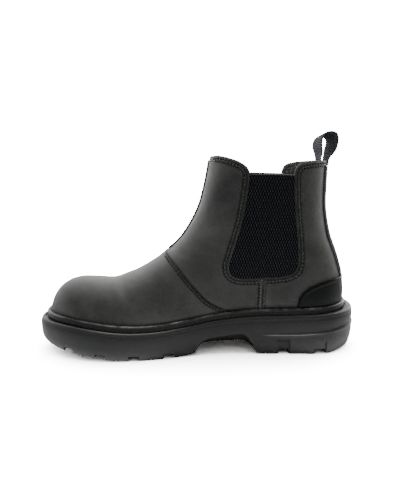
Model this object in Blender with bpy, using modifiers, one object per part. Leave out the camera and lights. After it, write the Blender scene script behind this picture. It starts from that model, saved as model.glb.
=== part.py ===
"""Slip-on ankle boot for the right foot: leather upper, elastic side gussets, lugged rubber sole.

X runs from the toe (-) to the heel (+), Y from the inner side (-) to the outer side (+), and Z up.
The origin lies on the floor under the middle of the sole. All sizes are in millimetres, and
mesh_object() turns them into metres. Each upper piece is cut from sheets that one function gives,
upper_half_width(), at different distances from the leather's outer face.
"""

import bmesh
import bpy
import numpy as np

MM = 0.001
GAP = 0.3

# Driving sizes
SOLE_LENGTH = 306.0
TOE_X = -SOLE_LENGTH / 2
HEEL_X = SOLE_LENGTH / 2
BALL_HALF = 55.5
HEEL_HALF = 39.5
WAIST_HALF = 40.8
HEEL_HEIGHT = 38.5
BALL_HEIGHT = 25.6
TOE_SPRING = 13.0
TOE_BOX_HEIGHT = 67.5
INSTEP_HEIGHT = 92.0
COLLAR_FRONT_HEIGHT = 184.0
COLLAR_BACK_HEIGHT = 178.0
SHAFT_HALF = 37.5

# Leather, elastic and webbing
WALL = 2.4
VAMP_STEP = 0.8
COUNTER_THICKNESS = 1.0
GUSSET_THICKNESS = 1.4
GUSSET_SINK = 0.5
STRIP_THICKNESS = 1.2
STRIP_HALF = 15.5
LOOP_HALF = 9.0
LOOP_THICKNESS = 1.7
LOOP_TWIST = np.radians(10.5)
LOOP_TWIST_MORE = np.radians(7.5)
LOOP_TWIST_Z = (181.0, 193.0)
LOOP_TWIST_X = (114.0, 125.0)
PIPING_HALF = 1.4
PIPING_THICKNESS = 0.9
PIPING_BOTTOM = 97.0
PIPING_TOP = 179.0
PIPING_REACH = 20.0
INSOLE_THICKNESS = 4.0
INSOLE_CLEARANCE = 0.8
SHARP_EDGE = np.radians(35.0)

# Welt and the ledges around it, measured in from the sole's widest line: at the toe, sides and heel
LIP_INSETS = (4.4, 2.7, 7.2)
WELT_INSETS = (6.4, 3.8, 8.8)
WELT_HEIGHT = 7.2
WELT_BEVEL = 1.2
SEAT_DROP = 1.2
WELT_CLEARANCE = 0.65
TOE_CLEARANCE = 0.35
TOE_CLEARANCE_X = (-110.0, -80.0)
VAMP_END_X = (28.0, 36.0)
LIP_SLOPE = 0.4
UPPER_INSET = 9.4
TOE_INSET = 2.0
TOE_INSET_FROM = (85.0, 125.0)
UPPER_BULGE = 3.2
BULGE_HEIGHT = 18.0


def table(columns, rows):
    """A table of numbers as one array per named column."""
    return dict(zip(columns.split(), np.array(rows, float).T))


# Plan of the sole, a row for each station along the foot, before its ends are rounded
PLAN = table("x swing half", [
    (TOE_X, -10.1, 44.0),
    (-120.0, -7.2, 48.5),
    (-90.0, -3.6, 53.0),
    (-64.0, -0.1, BALL_HALF),
    (-38.0, 2.4, 54.0),
    (-10.0, 4.9, 48.5),
    (20.0, 4.6, 43.5),
    (50.0, 3.0, WAIST_HALF),
    (82.0, 1.6, HEEL_HALF),
    (112.0, 0.9, HEEL_HALF),
    (HEEL_X, 0.4, HEEL_HALF),
])
TOE_ROUND = 74.0
TOE_POWER = 2.2
HEEL_ROUND = 42.0
HEEL_POWER = 2.1

# Side view of the sole: its bottom line and the line of its top lip
SOLE_SIDE = table("x bottom lip", [
    (TOE_X, TOE_SPRING, 32.0),
    (-136.0, 9.0, 32.0),
    (-118.0, 5.4, 31.4),
    (-96.0, 1.8, 29.2),
    (-76.0, 0.0, 26.8),
    (-58.0, 0.0, BALL_HEIGHT),
    (-38.0, 0.0, 25.8),
    (-12.0, 0.0, 27.9),
    (16.0, 0.0, 32.4),
    (45.0, 0.0, 35.6),
    (85.0, 0.0, 37.0),
    (120.0, 0.0, HEEL_HEIGHT),
    (HEEL_X, 0.0, 40.6),
])

# Section of the sole's wall, from the tread up: how far in from the widest line, and how high up
# the wall as a share. The ledge is a small step round the heel alone, the tuck is at both ends.
SOLE_WALL = table("inset share ledge tuck", [
    (0.8, 0.00, 0.0, 5.0),
    (0.3, 0.06, 0.0, 3.0),
    (0.1, 0.22, 0.0, 1.1),
    (0.1, 0.50, 0.0, 0.2),
    (0.1, 0.53, 0.9, 0.2),
    (0.1, 0.66, 0.7, 0.1),
    (0.4, 0.82, 0.3, 0.4),
    (1.2, 0.94, 0.2, 1.2),
    (2.3, 1.00, 0.0, 2.4),
])
LEDGE_FROM_X = 62.0
LEDGE_FULL_X = 86.0
TOE_TUCK = (80.0, 130.0)
HEEL_TUCK = (121.0, 152.0)

# Side view of the upper's outer face: front line from toe to collar and back line from heel to
# collar. The roll column is the depth over which the side curves round to that line.
FRONT_LINE = table("x z roll", [
    (-143.0, 31.2, 40.0),
    (-142.6, 39.5, 40.0),
    (-137.2, 52.8, 40.0),
    (-127.6, 63.0, 40.0),
    (-113.0, TOE_BOX_HEIGHT, 40.0),
    (-86.0, 66.0, 42.0),
    (-64.0, 71.8, 46.0),
    (-44.0, 83.0, 50.0),
    (-32.0, INSTEP_HEIGHT, 52.0),
    (-15.5, 107.4, 54.0),
    (-1.2, 131.4, 55.0),
    (6.0, 155.1, 55.0),
    (11.4, COLLAR_FRONT_HEIGHT, 55.0),
])
BACK_LINE = table("x z roll", [
    (139.8, 38.4, 38.0),
    (140.6, 46.0, 38.0),
    (140.2, 56.0, 39.0),
    (137.6, 73.0, 42.0),
    (131.8, 92.0, 48.0),
    (124.4, 111.8, 54.0),
    (120.6, 134.0, 57.0),
    (120.2, 156.0, 57.0),
    (120.6, COLLAR_BACK_HEIGHT, 57.0),
])
ROLL_POWER = 2.15
TOE_TAPER = 84.0
TOE_TAPER_X = -163.0
FOOT_TOP = 60.0
SHAFT_BOTTOM = 132.0
RIDGE_LEAN = 5.0
LEAN_RISE = (38.0, 80.0)
LEAN_FALL = (95.0, 150.0)
NEAREST_SOFTNESS = 6.0

# Seams and cut lines, drawn in the side view
VAMP_SEAM = table("x z", [
    (26.0, 33.0),
    (17.9, 41.5),
    (7.8, 51.9),
    (-3.1, 65.4),
    (-16.7, 82.6),
    (-31.6, 94.0),
    (-48.0, 106.0),
])
GUSSET_CUT = table("x z", [
    (45.4, 166.8),
    (44.9, 157.5),
    (43.0, 144.4),
    (39.7, 126.7),
    (34.6, 108.7),
    (29.6, 92.2),
    (27.8, 84.2),
    (30.0, 76.6),
    (36.8, 73.0),
    (48.0, 72.6),
    (61.0, 73.4),
    (76.0, 74.6),
    (85.6, 77.4),
    (90.0, 84.0),
    (90.4, 95.0),
    (89.3, 108.7),
    (87.1, 131.0),
    (85.6, 153.0),
    (85.0, 165.8),
])
COLLAR_FRONT_CORNER = table("x z", [
    (30.0, 200.0),
    (31.0, 183.5),
    (38.0, 180.0),
    (43.0, 175.5),
    (45.2, 170.0),
])
COLLAR_BACK_CORNER = table("x z", [
    (85.4, 169.0),
    (87.6, 174.0),
    (92.0, 177.2),
    (98.0, 179.6),
    (99.0, 200.0),
])
COUNTER_TOP = table("x z", [
    (92.6, 40.0),
    (93.4, 52.0),
    (98.0, 60.2),
    (108.0, 66.4),
    (122.0, 70.2),
    (138.0, 71.4),
    (165.0, 71.6),
])
SIDE_SEAM_X = 61.2
SIDE_SEAM_WIDTH = 7.6
SIDE_SEAM_TOP = 78.0
SIDE_SEAM_BOTTOM = 43.2
STRIP_FROM_X = 100.0
STRIP_BOTTOM = 72.4
STRIP_TOP = 173.4

# The loop's middle line in the side view: up from inside the collar, round, and down over its back
LOOP_LINE = table("x z", [
    (115.0, 164.0),
    (115.0, 174.0),
    (114.7, 180.0),
    (113.8, 185.5),
    (113.1, 191.0),
    (113.4, 196.5),
    (115.6, 201.6),
    (120.4, 204.6),
    (124.6, 202.4),
    (126.4, 196.4),
    (125.4, 190.4),
    (123.2, 185.2),
    (122.0, 181.0),
    (121.9, 174.2),
])

# Tread: grooves and narrow cuts along the edges, and channels across the middle block
FOREFOOT_GROOVES_X = (-118.5, -88.7, -58.5, -27.5)
HEEL_GROOVES_X = (80.0, 114.5)
CUTS_X = (-104.0, -74.0, -43.0, 63.5, 97.0)
GROOVE_WIDTH = 9.4
GROOVE_DEPTH = 4.6
CUT_WIDTH = 2.4
CUT_DEPTH = 1.8
MIDDLE_HALF = 15.0
MIDDLE_CHANNELS_X = (-104.0, -74.0, -43.0, 97.0)
CHANNEL_WIDTH = 6.0
CHANNEL_DEPTH = 3.6
CHANNEL_OVERRUN = 5.0
RECESS_DEPTH = 1.5
RECESS_WIDTH = 11.6
RECESS_HEIGHT = 13.0
FAR = 90.0
BELOW = -20.0

# The arch between forefoot and heel: its edge in the side view, and how low its roof is across
ARCH = table("x z", [
    (-22.0, -6.0),
    (-20.0, 0.0),
    (-4.0, 3.2),
    (1.0, 10.4),
    (7.5, 15.4),
    (22.0, 17.8),
    (39.0, 19.8),
    (45.0, 17.8),
    (49.0, 12.6),
    (53.5, 3.6),
    (57.0, -6.0),
])
ARCH_ROOF = table("y share", [
    (-FAR, 1.0),
    (-37.0, 1.0),
    (-27.0, 0.52),
    (31.0, 0.52),
    (41.0, 1.0),
    (FAR, 1.0),
])

# How finely the upper and sole are divided, and how the upper's loops are spread
SIDE_POINTS = 21
RING_COUNT = 28
RING_CROWDING = 1.35
BACK_PACE = 0.35
BACK_DELAY = 2.2
SEAT_REACH = 0.3
RING_SAG = 13.0
SAG_RISE = (0.03, 0.22)
SAG_FALL = (0.5, 0.85)
SAG_FORWARD = 0.6
LAYER_START = 0.006
SOLE_POINTS = 28


def cubic(xs, ys, at):
    """A smooth curve through the points (xs, ys), read at the positions given."""
    slope = np.gradient(ys, xs)
    i = np.clip(np.searchsorted(xs, at) - 1, 0, len(xs) - 2)
    step = xs[i + 1] - xs[i]
    u = np.clip((at - xs[i]) / step, 0, 1)
    start = (1 + 2 * u) * ys[i] + u * step * slope[i]
    end = (3 - 2 * u) * ys[i + 1] + (u - 1) * step * slope[i + 1]
    return (1 - u) ** 2 * start + u ** 2 * end


def curve_through(rows, count):
    """A table's rows joined by one smooth curve, as points at even steps of its length."""
    columns = np.stack(list(rows.values()), 1)
    knots = np.arange(len(columns), dtype=float)
    fine = np.linspace(0, knots[-1], 40 * len(knots))
    path = np.stack([cubic(knots, column, fine) for column in columns.T], 1)
    steps = np.hypot(*np.diff(path[:, :2], axis=0).T)
    length = np.concatenate([[0], np.cumsum(steps)])
    even = np.linspace(0, length[-1], count)
    return np.stack([np.interp(even, length, column) for column in path.T], 1)


def ease(value, low, high):
    """0 below low, 1 above high, and a smooth ramp between them."""
    t = np.clip((value - low) / (high - low), 0, 1)
    return t * t * (3 - 2 * t)


def roll_off(t, power=ROLL_POWER):
    """A rounded edge: 0 at the edge itself, rising steeply at first to 1 at its full depth."""
    return (1 - (1 - np.clip(t, 0, 1)) ** power) ** (1 / power)


def plan_swing(x):
    return cubic(PLAN["x"], PLAN["swing"], x)


def lip_height(x):
    return cubic(SOLE_SIDE["x"], SOLE_SIDE["lip"], x)


def bottom_height(x):
    return np.maximum(cubic(SOLE_SIDE["x"], SOLE_SIDE["bottom"], x), 0)


def seat_height(x):
    return lip_height(x) - SEAT_DROP


# Both lines of the upper start just over the sole's seat
for side_line in (FRONT_LINE, BACK_LINE):
    side_line["z"][0] = seat_height(side_line["x"][0]) + 2 * GAP
FRONT = curve_through(FRONT_LINE, 220)
BACK = curve_through(BACK_LINE, 120)


def depth_behind(line, x, z):
    """Distance from the points (x, z) to a side-view line, and the roll where it is nearest."""
    start, end = line[:-1, :2], line[1:, :2]
    run = end - start
    point = np.stack([x, z], -1)[..., None, :]
    share = ((point - start) * run).sum(-1) / (run ** 2).sum(-1)
    foot = start + np.clip(share, 0, 1)[..., None] * run
    distance = np.linalg.norm(point - foot, axis=-1)
    nearest = distance.min(-1)
    weight = np.exp((nearest[..., None] - distance) / NEAREST_SOFTNESS)
    roll = (weight * line[:-1, 2]).sum(-1) / weight.sum(-1)
    return nearest, roll


def upper_half_width(x, z):
    """Half the boot's width at a point of its side view. The foot's plan below blends into the
    shaft's width above, and both curve round to nothing at the front and back lines."""
    rise = np.clip((z - seat_height(x)) / BULGE_HEIGHT, 0, 1)
    inset = UPPER_INSET + TOE_INSET * ease(-x, *TOE_INSET_FROM)
    plan = cubic(PLAN["x"], PLAN["half"], x) - inset + UPPER_BULGE * np.sin(rise * np.pi / 2)
    foot = plan * roll_off((x - TOE_TAPER_X) / TOE_TAPER)
    base = foot + (SHAFT_HALF - foot) * ease(z, FOOT_TOP, SHAFT_BOTTOM)
    front_depth, front_roll = depth_behind(FRONT, x, z)
    back_depth, back_roll = depth_behind(BACK, x, z)
    return base * roll_off(front_depth / front_roll) * roll_off(back_depth / back_roll)


def upper_centre(x, z):
    """The upper's middle line: the sole's swing below, a lean to the inner side over the instep,
    and straight up in the shaft."""
    foot = plan_swing(x) * (1 - ease(z, FOOT_TOP, SHAFT_BOTTOM))
    over_foot = ease(z, *LEAN_RISE) * (1 - ease(z, *LEAN_FALL))
    return foot - RIDGE_LEAN * over_foot


def end_spaced(count):
    """Shares from 0 to 1 that lie closer together at both ends."""
    return (1 - np.cos(np.linspace(0, np.pi, count + 1))) / 2


def closed_loop(x, centre, half, z):
    """One loop of points: back along the inner side, then forward along the outer side."""
    inner = np.stack([x, centre - half, z], -1)
    outer = np.stack([x, centre + half, z], -1)
    return np.concatenate([inner, outer[-2:0:-1]])


def point_at(line, share):
    """The point of a side-view line at a share of its length."""
    even = np.linspace(0, 1, len(line))
    return np.array([np.interp(share, even, line[:, k]) for k in (0, 1)])


def upper_rings(lowest=0.0):
    """The upper's outer face as loops, from the sole up to the collar. Each one lies along a
    chord from the front line to the back line, and the lowest follow the sole's seat."""
    shares = lowest + (1 - lowest) * np.linspace(0, 1, RING_COUNT) ** RING_CROWDING
    along = end_spaced(SIDE_POINTS)
    rings = []
    for share in shares:
        front = point_at(FRONT, share)
        back = point_at(BACK, BACK_PACE * share + (1 - BACK_PACE) * share ** BACK_DELAY)
        x = front[0] + along * (back[0] - front[0])
        z = front[1] + along * (back[1] - front[1])
        lowest_chord = np.interp(x, (FRONT[0, 0], BACK[0, 0]), (FRONT[0, 1], BACK[0, 1]))
        near_sole = np.clip(1 - share / SEAT_REACH, 0, 1) ** 2
        z = z + near_sole * (seat_height(x) + 2 * GAP - lowest_chord)
        over_foot = ease(share, *SAG_RISE) * (1 - ease(share, *SAG_FALL))
        z = z - RING_SAG * over_foot * np.sin(np.pi * along ** SAG_FORWARD)
        rings.append(closed_loop(x, upper_centre(x, z), upper_half_width(x, z), z))
    return np.array(rings)


def ring_normals(rings):
    """Outward directions on a stack of loops, from the slopes along and across them."""
    around = np.roll(rings, -1, 1) - np.roll(rings, 1, 1)
    upward = np.gradient(rings, axis=0)
    normal = np.cross(around, upward)
    return normal / np.linalg.norm(normal, axis=-1, keepdims=True)


def ring_faces(rows, columns):
    """Quads that join each loop of a stack to the next."""
    return [
        (r * columns + c, r * columns + (c + 1) % columns,
         (r + 1) * columns + (c + 1) % columns, (r + 1) * columns + c)
        for r in range(rows - 1)
        for c in range(columns)
    ]


def ladder_faces(first, count):
    """Quads across one loop, between points at the same place on its two sides."""
    faces = []
    for c in range(count // 2):
        corners = [c, c + 1, count - c - 1, (count - c) % count]
        faces.append([first + k for k in dict.fromkeys(corners)])
    return faces


def collection(name):
    made = bpy.data.collections.new(name)
    bpy.context.scene.collection.children.link(made)
    return made


def material(name, colour, roughness):
    made = bpy.data.materials.new(name)
    made.use_nodes = True
    shader = made.node_tree.nodes["Principled BSDF"]
    shader.inputs["Base Color"].default_value = (*colour, 1.0)
    shader.inputs["Roughness"].default_value = roughness
    shader.inputs["Metallic"].default_value = 0.0
    return made


def mesh_object(name, points, faces, finish=None, closed=True):
    """An object from points in millimetres. With no finish it is a hidden guide or cutter."""
    mesh = bpy.data.meshes.new(name)
    mesh.from_pydata((np.asarray(points).reshape(-1, 3) * MM).tolist(), [], faces)
    if closed:
        shape = bmesh.new()
        shape.from_mesh(mesh)
        bmesh.ops.recalc_face_normals(shape, faces=shape.faces)
        shape.to_mesh(mesh)
        shape.free()
    made = bpy.data.objects.new(name, mesh)
    if finish is None:
        CUTTERS.objects.link(made)
        made.hide_render = True
        made.display_type = "WIRE"
    else:
        PARTS.objects.link(made)
        mesh.materials.append(finish)
    mesh.shade_smooth()
    mesh.set_sharp_from_angle(angle=SHARP_EDGE)
    return made


def boolean(target, operation, other):
    modifier = target.modifiers.new(f"{operation.lower()} {other.name}", "BOOLEAN")
    modifier.operation = operation
    modifier.solver = "EXACT"
    modifier.object = other


def side_prism(name, outline, near=-FAR, far=FAR):
    """A cutter with this side-view outline, running straight across the boot."""
    count = len(outline)
    ends = [np.insert(outline, 1, y, axis=1) for y in (near, far)]
    sides = [(c, (c + 1) % count, count + (c + 1) % count, count + c) for c in range(count)]
    caps = [list(range(count)), list(range(2 * count - 1, count - 1, -1))]
    return mesh_object(name, np.concatenate(ends), sides + caps)


def inset_outline(outline, distance):
    """A closed outline moved in along its own normals."""
    ahead = np.roll(outline, -1, 0) - np.roll(outline, 1, 0)
    inward = np.stack([-ahead[:, 1], ahead[:, 0]], 1)
    inward /= np.linalg.norm(inward, axis=1, keepdims=True)
    following = np.roll(outline, -1, 0)
    turn = outline[:, 0] * following[:, 1] - following[:, 0] * outline[:, 1]
    return outline + np.sign(turn.sum()) * distance * inward


def upper_sheet(name, offset, thickness, finish=None, lowest=0.0):
    """A sheet of the upper: its face stands off the leather's outer face, its wall goes inward."""
    rings = upper_rings(lowest)
    rings = rings + offset * ring_normals(rings)
    made = mesh_object(name, rings, ring_faces(*rings.shape[:2]), finish, closed=False)
    wall = made.modifiers.new("wall", "SOLIDIFY")
    wall.thickness = thickness * MM
    wall.offset = -1.0
    return made


def plan_loop(insets, z_of_x, points=SOLE_POINTS):
    """A loop of the sole's plan, drawn in by its insets at the toe, the sides and the heel."""
    toe, sides, heel = insets
    x = TOE_X + toe + end_spaced(points) * (SOLE_LENGTH - toe - heel)
    half = cubic(PLAN["x"], PLAN["half"], x) - sides
    half = half * roll_off((x - TOE_X - toe) / TOE_ROUND, TOE_POWER)
    half = half * roll_off((HEEL_X - heel - x) / HEEL_ROUND, HEEL_POWER)
    return closed_loop(x, plan_swing(x), half, z_of_x(x))


def upper_loop(height, offset):
    """A loop round the upper at one height over the seat, moved out in plan by a function of x.
    In front of the vamp seam it starts from the vamp's thicker wall."""
    rings = upper_rings()
    in_vamp = 1 - ease(rings[:, :, :1], *VAMP_END_X)
    rings = rings + VAMP_STEP * in_vamp * ring_normals(rings)
    over_seat = rings[:, :, 2] - seat_height(rings[:, :, 0])
    loop = np.array([
        [np.interp(height, over_seat[:, c], rings[:, c, axis]) for axis in range(3)]
        for c in range(rings.shape[1])
    ])
    loop[:, :2] = inset_outline(loop[:, :2], -offset(loop[:, :1]))
    return loop


def box_cutter(bounds):
    """Corners and faces of a box between two corner points."""
    low, high = bounds
    corners = [[(low, high)[k >> axis & 1][axis] for axis in range(3)] for k in range(8)]
    faces = [(0, 2, 3, 1), (4, 5, 7, 6), (0, 1, 5, 4), (2, 6, 7, 3), (0, 4, 6, 2), (1, 3, 7, 5)]
    return corners, faces


def boxes(name, bounds_list):
    """Several separate boxes as one cutter."""
    points, faces = [], []
    for bounds in bounds_list:
        corners, sides = box_cutter(bounds)
        faces += [[len(points) + k for k in side] for side in sides]
        points += corners
    return mesh_object(name, points, faces)


def tread_cutters():
    """Grooves and narrow cuts from both edges of the tread up to its middle block."""
    grooves = FOREFOOT_GROOVES_X + HEEL_GROOVES_X
    bounds = []
    for xs, width, depth in ((grooves, GROOVE_WIDTH, GROOVE_DEPTH), (CUTS_X, CUT_WIDTH, CUT_DEPTH)):
        for x in xs:
            roof = float(bottom_height(np.array(x))) + depth
            middle = float(plan_swing(np.array(x)))
            low_x, high_x = x - width / 2, x + width / 2
            bounds.append(((low_x, -FAR, BELOW), (high_x, middle - MIDDLE_HALF, roof)))
            bounds.append(((low_x, middle + MIDDLE_HALF, BELOW), (high_x, FAR, roof)))
    return boxes("tread_grooves", bounds)


def recess_cutters():
    """A shallow upright recess in the heel's wall over each of its grooves, on both sides."""
    inner, outer = np.split(plan_loop((RECESS_DEPTH,) * 3, bottom_height)[1:], [SOLE_POINTS - 1])
    bounds = []
    for x in HEEL_GROOVES_X:
        low_x, high_x = ends = x - RECESS_WIDTH / 2, x + RECESS_WIDTH / 2
        inner_y = np.interp(ends, inner[:, 0], inner[:, 1]).max()
        outer_y = np.interp(ends, outer[::-1, 0], outer[::-1, 1]).min()
        bounds.append(((low_x, -FAR, BELOW + 1), (high_x, inner_y, RECESS_HEIGHT)))
        bounds.append(((low_x, outer_y, BELOW + 1), (high_x, FAR, RECESS_HEIGHT)))
    return boxes("wall_recesses", bounds)


def channel_cutter():
    """Straight channels across the middle block, between the grooves of the edges."""
    bounds = []
    for x in MIDDLE_CHANNELS_X:
        roof = float(bottom_height(np.array(x))) + CHANNEL_DEPTH
        middle = float(plan_swing(np.array(x)))
        reach = MIDDLE_HALF + CHANNEL_OVERRUN
        low_x, high_x = x - CHANNEL_WIDTH / 2, x + CHANNEL_WIDTH / 2
        bounds.append(((low_x, middle - reach, BELOW + 2), (high_x, middle + reach, roof)))
    return boxes("tread_channels", bounds)


def arch_cutter():
    """The hollow between forefoot and heel, with a roof that drops towards the middle."""
    edge = curve_through(ARCH, 30)
    lines = []
    for y, share in zip(ARCH_ROOF["y"], ARCH_ROOF["share"]):
        height = np.where(edge[:, 1] > 0, edge[:, 1] * share, edge[:, 1])
        lines.append(np.stack([edge[:, 0], np.full(len(edge), y), height], 1))
    points = np.array(lines)
    rows, columns = points.shape[:2]
    last = (rows - 1) * columns
    caps = [list(range(columns)), list(range(last, last + columns))]
    return mesh_object("arch_hollow", points, ring_faces(rows, columns) + caps)


def build_outsole():
    rings = []
    for inset, share, ledge, tuck in zip(*SOLE_WALL.values()):
        loop = plan_loop((inset,) * 3, bottom_height)
        at_heel = ease(loop[:, 0], LEDGE_FROM_X, LEDGE_FULL_X)
        at_ends = ease(-loop[:, 0], *TOE_TUCK) + ease(loop[:, 0], *HEEL_TUCK)
        heel_side = plan_loop((inset + ledge,) * 3, bottom_height)
        tucked = plan_loop((inset + tuck,) * 3, bottom_height)
        loop = loop + (heel_side - loop) * at_heel[:, None] + (tucked - loop) * at_ends[:, None]
        bottom = bottom_height(loop[:, 0])
        loop[:, 2] = bottom + share * (lip_height(loop[:, 0]) - bottom)
        rings.append(loop)
    rings.append(plan_loop(LIP_INSETS, lip_height))
    rings.append(plan_loop([inset + LIP_SLOPE for inset in LIP_INSETS], seat_height))
    rings = np.array(rings)
    rows, columns = rings.shape[:2]
    faces = ring_faces(rows, columns) + ladder_faces(0, columns) + ladder_faces((rows - 1) * columns, columns)
    outsole = mesh_object("outsole", rings, faces, material("black_rubber", (0.022, 0.023, 0.024), 0.5))
    boolean(outsole, "DIFFERENCE", arch_cutter())
    boolean(outsole, "DIFFERENCE", recess_cutters())
    boolean(outsole, "DIFFERENCE", tread_cutters())
    boolean(outsole, "DIFFERENCE", channel_cutter())


def build_welt():
    def foot(x):
        return seat_height(x) + GAP

    def shoulder(x):
        return seat_height(x) + WELT_HEIGHT - WELT_BEVEL

    def top(x):
        return seat_height(x) + WELT_HEIGHT

    def clearance(x):
        return WELT_CLEARANCE + TOE_CLEARANCE * (1 - ease(x, *TOE_CLEARANCE_X))

    rings = np.array([
        upper_loop(2 * GAP, clearance),
        plan_loop(WELT_INSETS, foot, SIDE_POINTS),
        plan_loop(WELT_INSETS, shoulder, SIDE_POINTS),
        plan_loop([inset + WELT_BEVEL for inset in WELT_INSETS], top, SIDE_POINTS),
        upper_loop(WELT_HEIGHT, clearance),
        upper_loop(WELT_HEIGHT / 2, clearance),
    ])
    rows, columns = rings.shape[:2]
    faces = ring_faces(rows + 1, columns)
    wrapped = [[k % (rows * columns) for k in face] for face in faces]
    mesh_object("welt", rings, wrapped, material("welt_rubber", (0.018, 0.018, 0.019), 0.42))


def build_insole():
    def edge(x):
        return np.full_like(x, -(WALL + VAMP_STEP + INSOLE_CLEARANCE))

    rings = []
    for height in (GAP, INSOLE_THICKNESS):
        loop = upper_loop(2 * GAP, edge)
        loop[:, 2] = seat_height(loop[:, 0]) + height
        rings.append(loop)
    columns = len(rings[0])
    faces = ring_faces(2, columns) + ladder_faces(0, columns) + ladder_faces(columns, columns)
    mesh_object("insole", np.array(rings), faces, material("insole_fabric", (0.05, 0.05, 0.052), 0.9))


def gusset_outline():
    return curve_through(GUSSET_CUT, 44)


def build_upper():
    leather = material("grey_leather", (0.055, 0.057, 0.056), 0.62)
    upper = upper_sheet("upper", 0.0, WALL, leather)
    seam = curve_through(VAMP_SEAM, 24)
    before_toe = 2 * TOE_X
    corners = [(before_toe, seam[-1, 1]), (before_toe, 0.0), (seam[0, 0], 0.0)]
    vamp = np.concatenate([seam, corners])
    vamp_layer = upper_sheet("vamp_layer", VAMP_STEP, 2 * VAMP_STEP, lowest=LAYER_START)
    boolean(vamp_layer, "INTERSECT", side_prism("vamp_outline", vamp))
    band = [
        (SIDE_SEAM_X - SIDE_SEAM_WIDTH, SIDE_SEAM_BOTTOM),
        (SIDE_SEAM_X, SIDE_SEAM_BOTTOM),
        (SIDE_SEAM_X, SIDE_SEAM_TOP),
        (SIDE_SEAM_X - SIDE_SEAM_WIDTH, SIDE_SEAM_TOP),
    ]
    seam_layer = upper_sheet("seam_layer", 0.8 * VAMP_STEP, 2 * VAMP_STEP, lowest=LAYER_START)
    boolean(seam_layer, "INTERSECT", side_prism("seam_outline", np.array(band)))
    boolean(upper, "UNION", vamp_layer)
    boolean(upper, "UNION", seam_layer)
    front_corner = curve_through(COLLAR_FRONT_CORNER, 12)
    back_corner = curve_through(COLLAR_BACK_CORNER, 12)
    cut = np.concatenate([front_corner, gusset_outline(), back_corner])
    boolean(upper, "DIFFERENCE", side_prism("gusset_opening", cut))


def build_gussets():
    elastic = material("black_elastic", (0.012, 0.012, 0.013), 0.85)
    outline = inset_outline(gusset_outline(), GAP)
    for name, near, far in (("gusset_inner", -FAR, 0.0), ("gusset_outer", 0.0, FAR)):
        panel = upper_sheet(name, -GUSSET_SINK, GUSSET_THICKNESS, elastic)
        boolean(panel, "INTERSECT", side_prism(f"{name}_outline", outline, near, far))


def build_counter():
    rows = curve_through(COUNTER_TOP, 26)
    under = np.linspace(COUNTER_TOP["x"][-1], COUNTER_TOP["x"][0], 14)
    foot = np.stack([under, seat_height(under) + WELT_HEIGHT + GAP], 1)
    above = rows[rows[:, 1] > foot[-1, 1] + COUNTER_THICKNESS]
    outline = np.concatenate([above, foot])
    finish = material("black_counter", (0.013, 0.013, 0.014), 0.5)
    counter = upper_sheet("heel_counter", GAP + COUNTER_THICKNESS, COUNTER_THICKNESS, finish)
    boolean(counter, "INTERSECT", side_prism("counter_outline", outline))


def build_back_strip():
    finish = material("black_webbing", (0.02, 0.02, 0.021), 0.8)
    strip = upper_sheet("back_strip", GAP + STRIP_THICKNESS, STRIP_THICKNESS, finish)
    bounds = ((STRIP_FROM_X, -STRIP_HALF, STRIP_BOTTOM), (HEEL_X, STRIP_HALF, STRIP_TOP))
    boolean(strip, "INTERSECT", boxes("strip_bounds", [bounds]))
    return finish


def build_pull_loop(finish):
    """A flat strip of webbing carried along the loop's line and turned about Z, more at its back."""
    line = curve_through(LOOP_LINE, 46)
    ahead = np.gradient(line, axis=0)
    ahead /= np.linalg.norm(ahead, axis=1, keepdims=True)
    out = np.stack([ahead[:, 1], np.zeros(len(line)), -ahead[:, 0]], 1)
    twist = LOOP_TWIST + LOOP_TWIST_MORE * ease(line[:, 0], *LOOP_TWIST_X)
    turn = twist * ease(line[:, 1], *LOOP_TWIST_Z)
    across = np.stack([-np.sin(turn), np.cos(turn), np.zeros(len(line))], 1)
    middle = np.insert(line, 1, 0.0, axis=1)
    corners = [(-1, -1), (1, -1), (1, 1), (-1, 1)]
    rings = np.stack([
        middle + side * LOOP_HALF * across + face * LOOP_THICKNESS / 2 * out for side, face in corners
    ], 1)
    last = (len(line) - 1) * 4
    caps = [[0, 1, 2, 3], [last + 3, last + 2, last + 1, last]]
    mesh_object("pull_loop", rings, ring_faces(len(line), 4) + caps, finish)


def build_front_piping(finish):
    """A narrow raised strip on the centre seam, from the vamp up to just under the collar."""
    piping = upper_sheet("front_piping", GAP + PIPING_THICKNESS, PIPING_THICKNESS, finish)
    z = np.linspace(PIPING_BOTTOM, PIPING_TOP, 16)
    shin = FRONT[FRONT[:, 1] > INSTEP_HEIGHT]
    x = np.interp(z, shin[:, 1], shin[:, 0])
    y = upper_centre(x, z)
    rings = np.stack([
        np.stack([x + reach * PIPING_REACH, y + side * PIPING_HALF, z], 1)
        for reach, side in ((-1, -1), (1, -1), (1, 1), (-1, 1))
    ], 1)
    last = (len(z) - 1) * 4
    caps = [[0, 1, 2, 3], [last + 3, last + 2, last + 1, last]]
    boolean(piping, "INTERSECT", mesh_object("piping_bounds", rings, ring_faces(len(z), 4) + caps))


for leftover in list(bpy.data.objects):
    bpy.data.objects.remove(leftover)
PARTS = collection("ankle_boot")
CUTTERS = collection("cutters")
build_outsole()
build_welt()
build_insole()
build_upper()
build_gussets()
build_counter()
webbing = build_back_strip()
build_pull_loop(webbing)
build_front_piping(webbing)
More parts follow.
